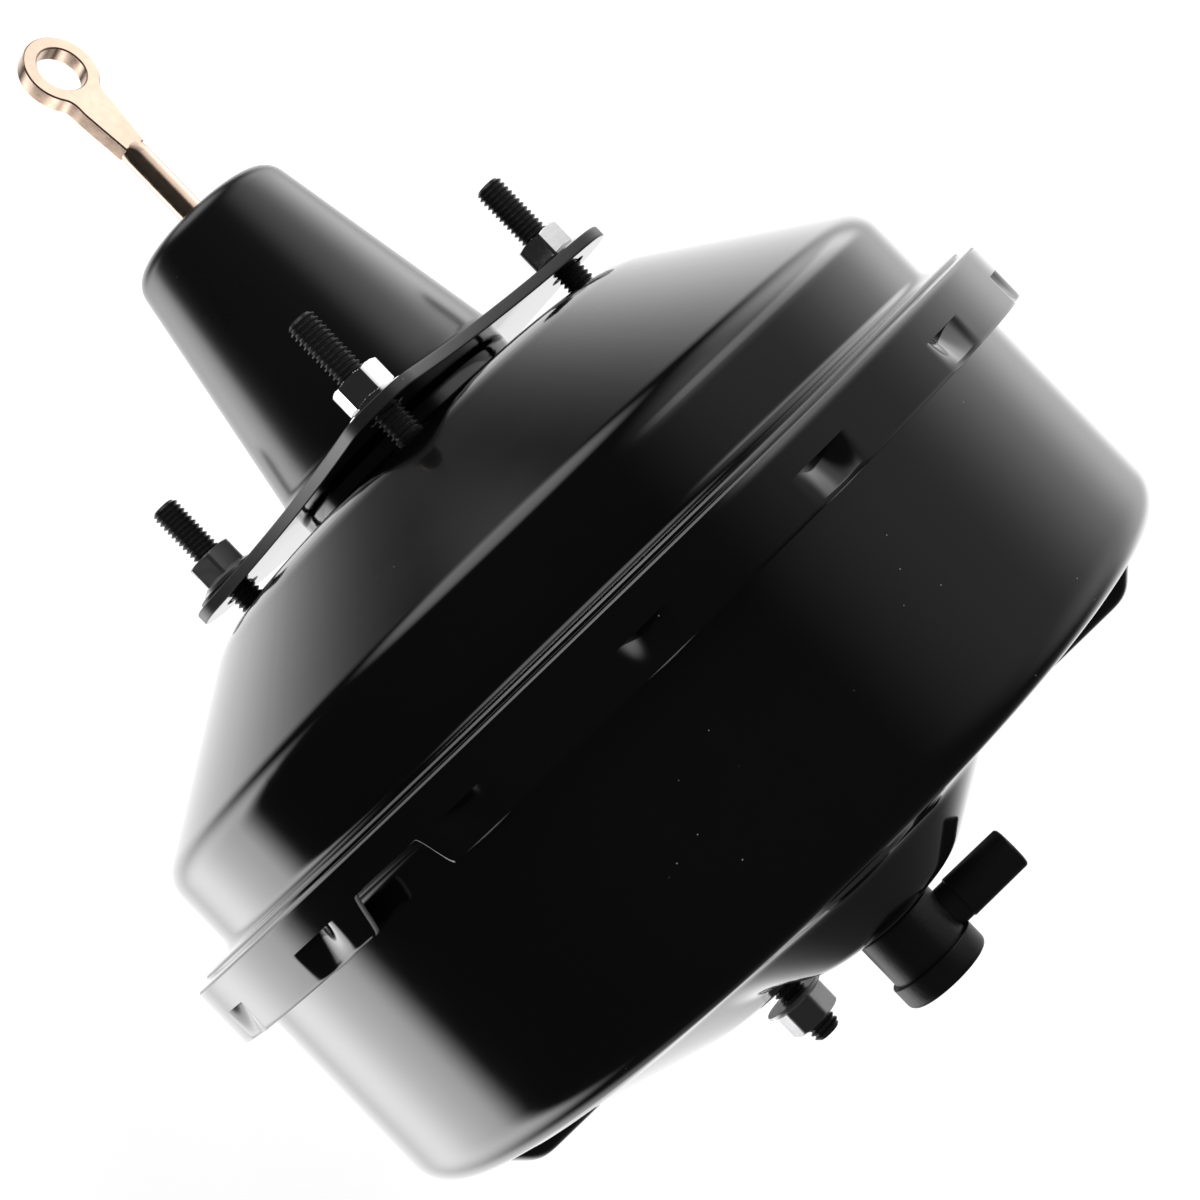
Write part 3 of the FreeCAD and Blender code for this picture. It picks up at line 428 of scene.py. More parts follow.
# Front shell. The second deep-drawn pressing, in the same paint.
FRONT_FLANGE = 77.0
FRONT_FLANGE_RADIUS = 134.3
FRONT_FLANGE_EDGE = 0.5
FRONT_FLANGE_FILLET = 4.0
FRONT_FLANGE_BACK = 1.0
FRONT_WALL_RADIUS = 127.6
FRONT_FACE = 148.7
FRONT_BEND = 9.5
LEDGE = 158.5
LEDGE_RADIUS = 106.0
LEDGE_FLANK = 1.02
LEDGE_CHORD = 40.0
LEDGE_CHORD_TURN = 2.9
LEDGE_REACH = 120.0
PAD = 167.0
PAD_RADIUS = 38.0
PAD_LOBE = 20.0
PAD_FLANK = 2.94
BOSS = 166.5
BOSS_RADIUS = 22.0
BOSS_FLANK = 1.52
PILOT_RADIUS = 22.0
PILOT_FLOOR = 157.0
PILOT_LIP = 1.0
PILOT_MARGIN = 0.1
PILOT_BEND = 1.5
PILOT_HOLE = 11.0
SOFT = 3.0
MASTER_RADIUS = 42.85
MASTER_ANGLE = 172.0
VALVE_RADIUS = 70.1
VALVE_ANGLE = 129.7
FRONT_COLUMNS = 480


def polar(radius, degrees):
    """A place in the Y Z plane."""
    angle = math.radians(degrees)
    return Vector((radius * math.cos(angle), radius * math.sin(angle)))


def upper(a, b):
    """The higher of two surfaces with a soft hollow where they meet."""
    return max(a, b) + max(SOFT - abs(a - b), 0.0) ** 2 / (4 * SOFT)


def lower(a, b):
    """The lower of two surfaces with a soft edge where they meet."""
    return min(a, b) - max(SOFT - abs(a - b), 0.0) ** 2 / (4 * SOFT)


master_places = [polar(MASTER_RADIUS, MASTER_ANGLE), polar(MASTER_RADIUS, MASTER_ANGLE + 180)]
valve_place = polar(VALVE_RADIUS, VALVE_ANGLE)
chord_way = polar(1.0, VALVE_ANGLE + LEDGE_CHORD_TURN)


def front_form(x, r, angle):
    """Raises the pressed forms out of the flat front face."""
    if x < FRONT_FACE - FRONT_BEND / 2 or r < PILOT_RADIUS + NEAR:
        return x, r
    place = polar(r, angle)
    flank = LEDGE - (r - LEDGE_RADIUS) / LEDGE_FLANK
    chord = LEDGE - (place.dot(chord_way) - LEDGE_CHORD)
    ledge = lower(LEDGE, lower(flank, chord))
    reach = min([r - PAD_RADIUS] + [(place - p).length - PAD_LOBE for p in master_places])
    pad = lower(PAD, PAD - reach / PAD_FLANK)
    boss = lower(BOSS, BOSS - ((place - valve_place).length - BOSS_RADIUS) / BOSS_FLANK)
    raised = upper(upper(ledge, pad), boss)
    face = x if r > LEDGE_REACH else upper(x, raised)
    return min(face, PAD), r


front_path = bent(
    [
        (FRONT_FLANGE, FRONT_WALL_RADIUS - FRONT_FLANGE_BACK),
        (FRONT_FLANGE, FRONT_FLANGE_RADIUS, FRONT_FLANGE_EDGE),
        (FRONT_FLANGE + SHEET, FRONT_FLANGE_RADIUS, FRONT_FLANGE_EDGE),
        (FRONT_FLANGE + SHEET, FRONT_WALL_RADIUS, FRONT_FLANGE_FILLET),
        (FRONT_FACE, FRONT_WALL_RADIUS, FRONT_BEND),
        (FRONT_FACE, PILOT_RADIUS + PILOT_LIP + 2 * PILOT_MARGIN),
    ],
    steps=12,
    spacing=1.0,
)
pilot_path = bent(
    [
        (PAD, PILOT_RADIUS + PILOT_LIP + PILOT_MARGIN),
        (PAD, PILOT_RADIUS, PILOT_LIP),
        (PILOT_FLOOR, PILOT_RADIUS, PILOT_BEND),
        (PILOT_FLOOR, PILOT_HOLE),
        (PILOT_FLOOR - SHEET, PILOT_HOLE),
    ],
    steps=5,
)
front_shell = turned(
    "front_shell_pressing",
    front_path + pilot_path,
    even_angles(FRONT_COLUMNS),
    front_form,
    sharp=50.0,
)
finish(front_shell, gloss_black, "shell_black", "housing", "front_shell")

# Mounting plate. A flat steel stamping with a round lobe at each stud and hollow sides between
# them, gloss black on its faces and satin on its sheared edges. It lies on the neck, and the
# firewall seats on its rear face.
STUD_Y = 40.0
STUD_Z = 44.0
STUD_HOLE = 5.2
PLATE = 3.2
PLATE_LOBE = 13.0
PLATE_WAIST = 8.0
PLATE_EDGE = 0.45
LOBE_POINTS = 28
WAIST_POINTS = 20


def plate_outline():
    """Lobes joined by hollow arcs that touch them smoothly."""
    def hollow(half):
        return (half**2 + PLATE_WAIST**2 - PLATE_LOBE**2) / (2 * (PLATE_LOBE - PLATE_WAIST))

    side = hollow(STUD_Z)
    end = hollow(STUD_Y)
    side_angle = math.degrees(math.asin(STUD_Z / (side + PLATE_LOBE)))
    end_angle = math.degrees(math.asin(STUD_Y / (end + PLATE_LOBE)))
    side_centre = (STUD_Y + PLATE_WAIST + side, 0.0)
    end_centre = (0.0, STUD_Z + PLATE_WAIST + end)
    arcs = [
        (side_centre, side, 180 + side_angle, 180 - side_angle, WAIST_POINTS),
        ((STUD_Y, STUD_Z), PLATE_LOBE, -side_angle, 90 + end_angle, LOBE_POINTS),
        (end_centre, end, 270 + end_angle, 270 - end_angle, WAIST_POINTS),
        ((-STUD_Y, STUD_Z), PLATE_LOBE, 90 - end_angle, 180 + side_angle, LOBE_POINTS),
    ]
    points = []
    for turn in (0, 180):
        spin = Matrix.Rotation(math.radians(turn), 2)
        for centre, radius, first, last, count in arcs:
            for k in range(count):
                points.append(spin @ (Vector(centre) + polar(radius, first + (last - first) * k / count)))
    return points


def stamping(name, outlines, thickness, edge):
    """Flat plate with rounded edges, cut to outlines in the Y Z plane, standing on X = 0."""
    curve = bpy.data.curves.new(name, "CURVE")
    curve.dimensions = "2D"
    curve.fill_mode = "BOTH"
    curve.extrude = (thickness / 2 - edge) * MM
    curve.bevel_depth = edge * MM
    curve.bevel_resolution = 3
    curve.offset = -edge * MM
    for outline in outlines:
        spline = curve.splines.new("POLY")
        spline.points.add(len(outline) - 1)
        for point, place in zip(spline.points, outline):
            point.co = (place[0] * MM, place[1] * MM, 0.0, 1.0)
        spline.use_cyclic_u = True
    source = bpy.data.objects.new(name + "_outline", curve)
    bpy.context.scene.collection.objects.link(source)
    bpy.context.view_layer.update()
    depsgraph = bpy.context.evaluated_depsgraph_get()
    mesh = bpy.data.meshes.new_from_object(source.evaluated_get(depsgraph))
    bpy.data.objects.remove(source)
    flat_to_upright = Matrix(((0, 0, 1, 0), (1, 0, 0, 0), (0, 1, 0, 0), (0, 0, 0, 1)))
    mesh.transform(flat_to_upright)
    piece = smooth_piece(name, mesh)
    piece.modifiers.new("even_shading", "WEIGHTED_NORMAL").keep_sharp = True
    return piece


def circle(radius, y=0.0, z=0.0):
    """Outline of a round hole."""
    return [Vector((y, z)) + polar(radius, -angle) for angle in even_angles(64)]


satin_plate = paint(
    "satin_black_plate",
    colour=(0.012, 0.012, 0.0125),
    rough=(0.3, 0.46),
    coat=0.35,
    coat_rough=0.25,
    peel=0.12,
)
stud_places = [(STUD_Y, STUD_Z), (-STUD_Y, STUD_Z), (-STUD_Y, -STUD_Z), (STUD_Y, -STUD_Z)]
holes = [circle(NECK_RADIUS - SHEET)] + [circle(STUD_HOLE, y, z) for y, z in stud_places]
plate = stamping("mounting_plate_stamping", [plate_outline()] + holes, PLATE, PLATE_EDGE)
plate.location.x = PLATE / 2 * MM
finish(plate, satin_plate, "plate_black", "housing", "mounting_plate")
plate.data.materials.append(gloss_black)
for face in plate.data.polygons:
    if abs(face.normal.x) > 0.9:
        face.material_index = 1

# Snout cover. A tapered steel tube in satin black over the valve housing, with a domed end, a
# raised lip round the push rod hole, and a small flared foot that lies on the mounting plate.
COVER_END = -72.3
COVER_SLOPE = math.tan(math.radians(10.24))
COVER_SHEET = 1.2
COVER_BASE = 36.6
COVER_FOOT = 40.0
COVER_FOOT_FACE = 0.2
COVER_FOOT_EDGE = 0.15
COVER_FOOT_ROLL = 0.6
COVER_FOOT_FILLET = 3.0
COVER_DOME = 6.0
COVER_HOLE = 9.2
COVER_LIP = 0.8
COVER_LIP_RADIUS = 10.3
COVER_LIP_FILLET = 0.6
COVER_LIP_EDGE = 0.35
COVER_COLUMNS = 160
cover_path = bent(
    [
        (0.0, COVER_FOOT - COVER_FOOT_FACE),
        (0.0, COVER_FOOT, COVER_FOOT_EDGE),
        (-SHEET, COVER_FOOT, COVER_FOOT_ROLL),
        (-SHEET, COVER_BASE - SHEET * COVER_SLOPE, COVER_FOOT_FILLET),
        (COVER_END, COVER_BASE + COVER_END * COVER_SLOPE, COVER_DOME),
        (COVER_END, COVER_LIP_RADIUS, COVER_LIP_FILLET),
        (COVER_END - COVER_LIP, COVER_LIP_RADIUS, COVER_LIP_EDGE),
        (COVER_END - COVER_LIP, COVER_HOLE, COVER_LIP_EDGE),
        (COVER_END + COVER_SHEET, COVER_HOLE),
    ],
    steps=8,
    spacing=4.0,
)
satin_black = paint(
    "satin_black_paint",
    colour=(0.0022, 0.0022, 0.0023),
    rough=(0.26, 0.34),
    coat=1.0,
    coat_rough=0.24,
    peel=0.08,
)
cover = turned("snout_cover_drawing", cover_path[::-1], even_angles(COVER_COLUMNS), sharp=45.0)
solid_sheet(cover, COVER_SHEET)
finish(cover, satin_black, "cover_black", "housing", "snout_cover")

# Studs. Steel studs with rolled threads, phosphated black: four through the mounting plate and
# two in the master cylinder pad. Each is pressed into its shell from the inside.
PITCH = 1.41
THREAD_OUTER = 3.97
THREAD_ROOT = 3.2
THREAD_CREST = 0.12
THREAD_FLANK = 0.76
THREAD_ROWS = 9
STUD_TIP = -27.0
MASTER_TIP = 185.3
STUD_SUNK = 1.0
TIP_RADIUS = 2.95
TIP_FACE = 2.7
TIP_MIDDLE = 0.02
STUD_COLUMNS = 36


def thread_depth(phase):
    """Outer to root across one pitch: a flat crest, two flanks and a narrow root."""
    t = abs((phase % 1.0) - 0.5) * 2
    return min(max((t - THREAD_CREST) / THREAD_FLANK, 0.0), 1.0)


def threaded(name, root_x, tip_x, y, z):
    """A stud with a helical thread that runs out at a chamfered tip."""
    way = 1.0 if tip_x > root_x else -1.0
    length = abs(tip_x - root_x)
    count = int(length / PITCH * THREAD_ROWS)

    def form(s, r, angle):
        if r < THREAD_ROOT:
            return root_x + way * s, r
        outer = THREAD_OUTER - (THREAD_OUTER - THREAD_ROOT) * thread_depth(s / PITCH - angle / 360.0)
        return root_x + way * s, min(outer, TIP_RADIUS + length - s)

    path = [(length * k / count, THREAD_OUTER) for k in range(count + 1)]
    path += [(length, TIP_FACE), (length, TIP_MIDDLE)]
    angles = [way * angle for angle in even_angles(STUD_COLUMNS)]
    return turned(name, path, angles, form, Matrix.Translation((0.0, y, z)), sharp=60.0)


def steel(name, colour, rough, grain_scale, grain, metallic=1.0):
    """Bare or plated steel with a fine grain in its roughness and surface."""
    material, tree, shader = new_material(name)
    where = add(tree, "ShaderNodeTexCoord").outputs["Object"]
    fine = add(tree, "ShaderNodeTexNoise", {"Vector": where, "Scale": grain_scale, "Detail": 4.0})
    broad = add(tree, "ShaderNodeTexNoise", {"Vector": where, "Scale": grain_scale / 12, "Detail": 3.0})
    dress(
        tree,
        shader,
        mask=broad.outputs["Fac"],
        colours=([c * 0.72 for c in colour], colour),
        wear=fine.outputs["Fac"],
        worn=(0.3, 0.7),
        rough=rough,
        height=fine.outputs["Fac"],
        strength=grain,
        distance=0.0002,
    )
    shader.inputs["Metallic"].default_value = metallic
    return material


black_steel = steel(
    "phosphated_black_steel",
    colour=(0.03, 0.03, 0.032),
    rough=(0.2, 0.36),
    grain_scale=900.0,
    grain=0.2,
    metallic=0.6,
)
for k, (y, z) in enumerate(stud_places):
    stud = threaded(f"firewall_stud_{k + 1}", REAR_FACE + STUD_SUNK, STUD_TIP, y, z)
    finish(stud, black_steel, "stud_black", "housing", "firewall_studs")
for k, place in enumerate(master_places):
    stud = threaded(f"master_cylinder_stud_{k + 1}", PAD - STUD_SUNK, MASTER_TIP, *place)
    finish(stud, black_steel, "stud_black", "housing", "master_cylinder_studs")

# Nuts and washer. Hexagon flange nuts in zinc plate, one on each stud. The master cylinder nuts
# are only run on for transport, clear of the pad. One firewall nut sits on a dark washer.
NUT_FLATS = 12.7
NUT_HEIGHT = 8.4
NUT_CHAMFER = 0.9
NUT_CHAMFER_SLOPE = 1.7
NUT_CORNER_ROUND = 0.22
NUT_EDGE = 0.12
NUT_MOUTH = THREAD_OUTER + 1.0
NUT_MOUTH_DEPTH = 0.8
NUT_FLANGE = 8.55
NUT_FLANGE_HEIGHT = 0.85
NUT_FLANGE_SLOPE = 2.0
NUT_FLANGE_STEP = 0.08
NUT_FLANGE_STATIONS = 16
NUT_SIDE_STATIONS = [2.3, 4.6]
NUT_TOP_STATIONS = 15
NUT_COLUMNS = 144
NUT_TURNS = (12.0, 50.0, 8.0, 20.0)
MASTER_NUT = 172.4
MASTER_NUT_TURN = 50.0
WASHER = 1.2
WASHER_RADIUS = 10.5
WASHER_EDGE = 0.25
WASHER_STUD = 2


def flange_nut(name, seat_x, way, y, z, turn):
    """A hexagon with a coned top over a round flange."""
    corner = NUT_FLATS / math.sqrt(3)
    wide = 20.0

    def form(s, r, angle):
        if r <= NUT_MOUTH:
            return seat_x + way * s, r
        flat = NUT_FLATS / 2 / math.cos(math.radians((angle - turn) % 60 - 30))
        coned = corner - NUT_CHAMFER + (NUT_HEIGHT - s) * NUT_CHAMFER_SLOPE
        hexagon = min(flat, coned, corner - NUT_CORNER_ROUND)
        flange = NUT_FLANGE - max(s - NUT_FLANGE_HEIGHT, 0.0) * NUT_FLANGE_SLOPE
        return seat_x + way * s, min(max(hexagon, flange), r)

    stations = [NUT_EDGE]
    stations += [NUT_FLANGE_HEIGHT + NUT_FLANGE_STEP * k for k in range(NUT_FLANGE_STATIONS)]
    stations += NUT_SIDE_STATIONS
    stations += [NUT_HEIGHT - NUT_EDGE * k for k in reversed(range(NUT_TOP_STATIONS))]
    path = [(0.0, THREAD_ROOT), (0.0, NUT_FLANGE - NUT_EDGE)] + [(s, wide) for s in stations]
    path += [(NUT_HEIGHT, NUT_MOUTH), (NUT_HEIGHT - NUT_MOUTH_DEPTH, THREAD_ROOT)]
    angles = [way * (turn + angle) for angle in even_angles(NUT_COLUMNS)]
    return turned(name, path, angles, form, Matrix.Translation((0.0, y, z)), sharp=24.0)


bright_zinc = steel(
    "bright_zinc_plate",
    colour=(0.93, 0.93, 0.94),
    rough=(0.06, 0.13),
    grain_scale=700.0,
    grain=0.03,
)
dull_zinc = steel(
    "dull_zinc_plate",
    colour=(0.62, 0.62, 0.63),
    rough=(0.38, 0.5),
    grain_scale=700.0,
    grain=0.1,
)
for k, (y, z) in enumerate(stud_places):
    seat, plating = (-WASHER, dull_zinc) if k == WASHER_STUD else (0.0, bright_zinc)
    nut = flange_nut(f"firewall_nut_{k + 1}", seat, -1.0, y, z, NUT_TURNS[k])
    finish(nut, plating, "nut_zinc", "housing", "firewall_nuts")
for k, place in enumerate(master_places):
    nut = flange_nut(f"master_cylinder_nut_{k + 1}", MASTER_NUT, 1.0, *place, MASTER_NUT_TURN)
    finish(nut, dull_zinc, "nut_zinc", "housing", "master_cylinder_nuts")
washer_path = bent(
    [
        (-WASHER, STUD_HOLE),
        (-WASHER, WASHER_RADIUS, WASHER_EDGE),
        (0.0, WASHER_RADIUS, WASHER_EDGE),
        (0.0, STUD_HOLE),
    ],
    steps=4,
)
at_washer = Matrix.Translation((0.0, *stud_places[WASHER_STUD]))
washer = turned("stud_washer_turned", washer_path, place=at_washer, closed=True)
finish(washer, satin_plate, "plate_black", "housing", "stud_washer")

# Push rod. A steel rod in gold zinc plating with a ball at its hidden end. The pedal end is forged
# flat, widens towards the eye, and is bored through for the pedal pin.
ROD_RADIUS = 3.65
ROD_COLUMNS = 48
BALL_X = 30.0
BALL_RADIUS = 5.5
BALL_OVERLAP = 4.0
COLLAR_X = -10.0
COLLAR = 1.5
COLLAR_RADIUS = 9.6
COLLAR_EDGE = 0.4
COLLAR_OVERLAP = 0.3
EYE_X = -125.8
EYE_RADIUS = 10.4
EYE_HOLE = 6.7
EYE_THICKNESS = 4.8
EYE_JOIN = 42.0
EYE_POINTS = 36
BLADE_END = 27.4
BLADE_HALF = 3.4
BLADE_NECK = 14.0
BLADE_NECK_HALF = 5.2
BLADE_NECK_SLOPE = 0.12
BLADE_EDGE = 0.4
BLADE_POINTS = 8


def rod_blank(sections):
    """Round rod that runs flat, from (x, half width, half height, squareness) sections."""
    vertices = []
    for x, half_y, half_z, square in sections:
        for k in range(ROD_COLUMNS):
            a = 2 * math.pi * k / ROD_COLUMNS
            y = half_y * math.copysign(abs(math.cos(a)) ** (2 / square), math.cos(a))
            z = half_z * math.copysign(abs(math.sin(a)) ** (2 / square), math.sin(a))
            vertices.append((x, y, z))
    faces = []
    for i in range(len(sections) - 1):
        for k in range(ROD_COLUMNS):
            a = i * ROD_COLUMNS + k
            b = i * ROD_COLUMNS + (k + 1) % ROD_COLUMNS
            faces.append((a, a + ROD_COLUMNS, b + ROD_COLUMNS, b))
    last = (len(sections) - 1) * ROD_COLUMNS
    faces.append(tuple(range(ROD_COLUMNS)))
    faces.append(tuple(last + k for k in reversed(range(ROD_COLUMNS))))
    return mesh_piece("push_rod_forging", vertices, faces, sharp=28.0)


def blade_outline():
    """Round eye that draws in to a blade, tapering to the rod."""
    join = math.radians(EYE_JOIN)
    join_half = EYE_RADIUS * math.sin(join)
    join_slope = math.cos(join) / math.sin(join)
    length = BLADE_NECK - EYE_RADIUS * math.cos(join)
    side = [(BLADE_HALF, -BLADE_END), (BLADE_NECK_HALF, -BLADE_NECK)]
    for k in range(1, BLADE_POINTS):
        t = k / BLADE_POINTS
        half = BLADE_NECK_HALF * (2 * t**3 - 3 * t**2 + 1) + join_half * (3 * t**2 - 2 * t**3)
        half += length * (BLADE_NECK_SLOPE * (t**3 - 2 * t**2 + t) + join_slope * (t**3 - t**2))
        side.append((half, -BLADE_NECK + length * t))
    for k in range(EYE_POINTS):
        angle = join + (math.pi - join) * k / EYE_POINTS
        side.append((EYE_RADIUS * math.sin(angle), -EYE_RADIUS * math.cos(angle)))
    return side + [(0.0, EYE_RADIUS)] + [(-y, z) for y, z in reversed(side)]


gold_zinc = steel(
    "gold_zinc_plate",
    colour=(0.94, 0.70, 0.55),
    rough=(0.16, 0.26),
    grain_scale=500.0,
    grain=0.06,
)
rod = rod_blank(
    [
        (BALL_X - BALL_OVERLAP, ROD_RADIUS, ROD_RADIUS, 2.0),
        (-95.6, ROD_RADIUS, ROD_RADIUS, 2.0),
        (-97.0, 3.6, 3.4, 2.1),
        (-98.2, 3.5, 2.9, 2.5),
        (-99.2, 3.3, 2.45, 3.5),
        (-100.2, 3.1, 2.2, 6.0),
        (-103.0, 3.0, 2.1, 8.0),
    ]
)
finish(rod, gold_zinc, "rod_gold", "push_rod", "push_rod")
blade = stamping("push_rod_blade", [blade_outline(), circle(EYE_HOLE)], EYE_THICKNESS, BLADE_EDGE)
along_rod = Matrix.Rotation(math.radians(-90), 4, "Y")
along_rod.translation = Vector((EYE_X * MM, 0.0, 0.0))
blade.data.transform(along_rod)
finish(blade, gold_zinc, "rod_gold", "push_rod")
ball_path = [
    (BALL_X + BALL_RADIUS * math.cos(math.radians(a)), BALL_RADIUS * math.sin(math.radians(a)))
    for a in range(177, 2, -7)
]
ball = turned("push_rod_ball", ball_path, even_angles(ROD_COLUMNS))
finish(ball, gold_zinc, "rod_gold", "push_rod")
collar_path = bent(
    [
        (COLLAR_X, ROD_RADIUS - COLLAR_OVERLAP),
        (COLLAR_X, COLLAR_RADIUS, COLLAR_EDGE),
        (COLLAR_X + COLLAR, COLLAR_RADIUS, COLLAR_EDGE),
        (COLLAR_X + COLLAR, ROD_RADIUS - COLLAR_OVERLAP),
    ],
    steps=3,
)
collar = turned("push_rod_collar", collar_path, closed=True)
finish(collar, gold_zinc, "rod_gold", "push_rod")

# Check valve. A black nylon elbow pushed into a rubber grommet in the boss: a round body with a
# welded cap and one plain nipple for the vacuum hose. It can be swivelled in the grommet.
VALVE_SEAT = 168.5
VALVE_SEAT_GAP = 0.05
VALVE_BODY_RADIUS = 10.65
VALVE_BODY_END = 181.2
VALVE_BODY_EDGE = 0.7
VALVE_WALL = 2.0
VALVE_CAP_RADIUS = 11.8
VALVE_CAP_END = 187.7
VALVE_CAP_EDGE = 1.7
VALVE_CAP_FOOT_EDGE = 0.4
VALVE_CAP_DISH = 0.35
VALVE_CAP_DISH_RADIUS = 6.6
VALVE_CAP_DISH_SLOPE = 0.4
VALVE_CAP_DISH_EDGE = 0.2
VALVE_CAP_MIDDLE = 0.05
SPIGOT_RADIUS = 7.45
SPIGOT_END = 158.9
SPIGOT_BORE = 3.8
SPIGOT_NOSE = 1.0
SPIGOT_NOSE_EDGE = 0.4
SPIGOT_BARB = 0.8
SPIGOT_BARB_LENGTH = 3.0
SPIGOT_BARB_BACK = 0.3
NIPPLE_X = 176.3
NIPPLE_RADIUS = 5.6
NIPPLE_NECK = 5.3
NIPPLE_BORE = 3.6
NIPPLE_BORE_DEPTH = 14.0
NIPPLE_BORE_EDGE = 0.5
NIPPLE_LENGTH = 31.0
NIPPLE_TAPER = 0.1
NIPPLE_EDGE = 0.9
NIPPLE_HEAD = 17.0
NIPPLE_HEAD_BACK = 0.3
NIPPLE_NECK_BEND = 0.2
NIPPLE_OVERLAP = 1.0
NIPPLE_ANGLE = 42.6
NIPPLE_COLUMNS = 48
GROMMET_RADIUS = 10.9
GROMMET_BORE = SPIGOT_RADIUS + 0.1
GROMMET_SUNK = 0.3
GROMMET_FOOT_EDGE = 0.1
GROMMET_EDGE = 0.7


def moulding(name, colour, rough, texture_scale, texture):
    """Moulded plastic or rubber with a fine spark texture."""
    material, tree, shader = new_material(name)
    surface = add(
        tree,
        "ShaderNodeGroup",
        {"Peel Scale": texture_scale, "Dust Amount": 0.03},
        node_tree=sprayed_paint,
    ).outputs
    dress(
        tree,
        shader,
        mask=surface["Dust"],
        colours=(colour, (0.09, 0.09, 0.09)),
        wear=surface["Scuff"],
        worn=(0.3, 0.7),
        rough=rough,
        height=surface["Height"],
        strength=texture,
        distance=0.0003,
    )
    return material


black_nylon = moulding("black_nylon", (0.003, 0.003, 0.0031), (0.3, 0.42), 900.0, 0.2)
black_rubber = moulding("black_rubber", (0.010, 0.010, 0.010), (0.55, 0.7), 700.0, 0.4)
at_valve = Matrix.Translation((0.0, *valve_place))
grommet_path = bent(
    [
        (BOSS - GROMMET_SUNK, GROMMET_BORE),
        (BOSS - GROMMET_SUNK, GROMMET_RADIUS, GROMMET_FOOT_EDGE),
        (VALVE_SEAT, GROMMET_RADIUS, GROMMET_EDGE),
        (VALVE_SEAT, GROMMET_BORE),
    ],
    steps=4,
)
grommet = turned("check_valve_grommet_ring", grommet_path, place=at_valve, closed=True)
finish(grommet, black_rubber, "seal_rubber", "housing", "check_valve_grommet")
body_path = bent(
    [
        (SPIGOT_END, SPIGOT_BORE),
        (SPIGOT_END, SPIGOT_RADIUS - SPIGOT_NOSE, SPIGOT_NOSE_EDGE),
        (SPIGOT_END + SPIGOT_BARB_LENGTH, SPIGOT_RADIUS + SPIGOT_BARB, SPIGOT_BARB_BACK),
        (SPIGOT_END + SPIGOT_BARB_LENGTH + SPIGOT_BARB_BACK, SPIGOT_RADIUS),
        (VALVE_SEAT + VALVE_SEAT_GAP, SPIGOT_RADIUS),
        (VALVE_SEAT + VALVE_SEAT_GAP, VALVE_BODY_RADIUS, VALVE_BODY_EDGE),
        (VALVE_BODY_END, VALVE_BODY_RADIUS),
        (VALVE_BODY_END, VALVE_BODY_RADIUS - VALVE_WALL),
        (VALVE_SEAT + VALVE_WALL, VALVE_BODY_RADIUS - VALVE_WALL),
        (VALVE_SEAT + VALVE_WALL, SPIGOT_BORE),
    ],
    steps=4,
)
valve_body = turned("check_valve_body", body_path, place=at_valve, closed=True)
finish(valve_body, black_nylon, "valve_plastic", "check_valve", "check_valve_elbow")
cap_path = bent(
    [
        (VALVE_BODY_END, VALVE_CAP_MIDDLE),
        (VALVE_BODY_END, VALVE_CAP_RADIUS, VALVE_CAP_FOOT_EDGE),
        (VALVE_CAP_END, VALVE_CAP_RADIUS, VALVE_CAP_EDGE),
        (VALVE_CAP_END, VALVE_CAP_DISH_RADIUS + VALVE_CAP_DISH_SLOPE, VALVE_CAP_DISH_EDGE),
        (VALVE_CAP_END - VALVE_CAP_DISH, VALVE_CAP_DISH_RADIUS, VALVE_CAP_DISH_EDGE),
        (VALVE_CAP_END - VALVE_CAP_DISH, VALVE_CAP_MIDDLE),
    ],
    steps=5,
)
valve_cap = turned("check_valve_cap_moulding", cap_path, place=at_valve)
finish(valve_cap, black_nylon, "valve_plastic", "check_valve", "check_valve_cap")
nipple_path = bent(
    [
        (NIPPLE_LENGTH - NIPPLE_BORE_DEPTH, NIPPLE_BORE),
        (NIPPLE_LENGTH, NIPPLE_BORE, NIPPLE_BORE_EDGE),
        (NIPPLE_LENGTH, NIPPLE_RADIUS - NIPPLE_TAPER, NIPPLE_EDGE),
        (NIPPLE_LENGTH - NIPPLE_HEAD, NIPPLE_RADIUS),
        (NIPPLE_LENGTH - NIPPLE_HEAD - NIPPLE_HEAD_BACK, NIPPLE_NECK, NIPPLE_NECK_BEND),
        (VALVE_BODY_RADIUS - NIPPLE_OVERLAP, NIPPLE_NECK),
    ],
    steps=4,
)
along_nipple = (
    Matrix.Translation((NIPPLE_X, *valve_place))
    @ Matrix.Rotation(math.radians(NIPPLE_ANGLE), 4, "X")
    @ Matrix.Rotation(math.radians(90), 4, "Z")
)
nipple = turned(
    "check_valve_nipple",
    nipple_path[::-1],
    even_angles(NIPPLE_COLUMNS),
    place=along_nipple,
)
finish(nipple, black_nylon, "valve_plastic", "check_valve")

# Inner parts. The power piston, diaphragms, divider, seals, control valve and springs are shut in
# by the shells. They keep their CAD shapes and get the finish of what they are made of.
inner_finishes = {
    "raw_steel": steel("satin_raw_steel", (0.56, 0.57, 0.58), (0.25, 0.42), 600.0, 0.2),
    "spring_steel": steel("oiled_spring_steel", (0.30, 0.30, 0.31), (0.25, 0.4), 800.0, 0.2),
    "divider_alloy": steel("spun_alloy", (0.74, 0.75, 0.77), (0.3, 0.45), 300.0, 0.2),
    "hub_plastic": moulding("grey_phenolic", (0.06, 0.06, 0.065), (0.4, 0.55), 500.0, 0.3),
    "seal_rubber": black_rubber,
    "filter_foam": moulding("filter_felt", (0.12, 0.11, 0.10), (0.85, 0.95), 1400.0, 1.0),
}
slots = {part["node"]: part["material_slot"] for part in frame["record"]["subparts"]}


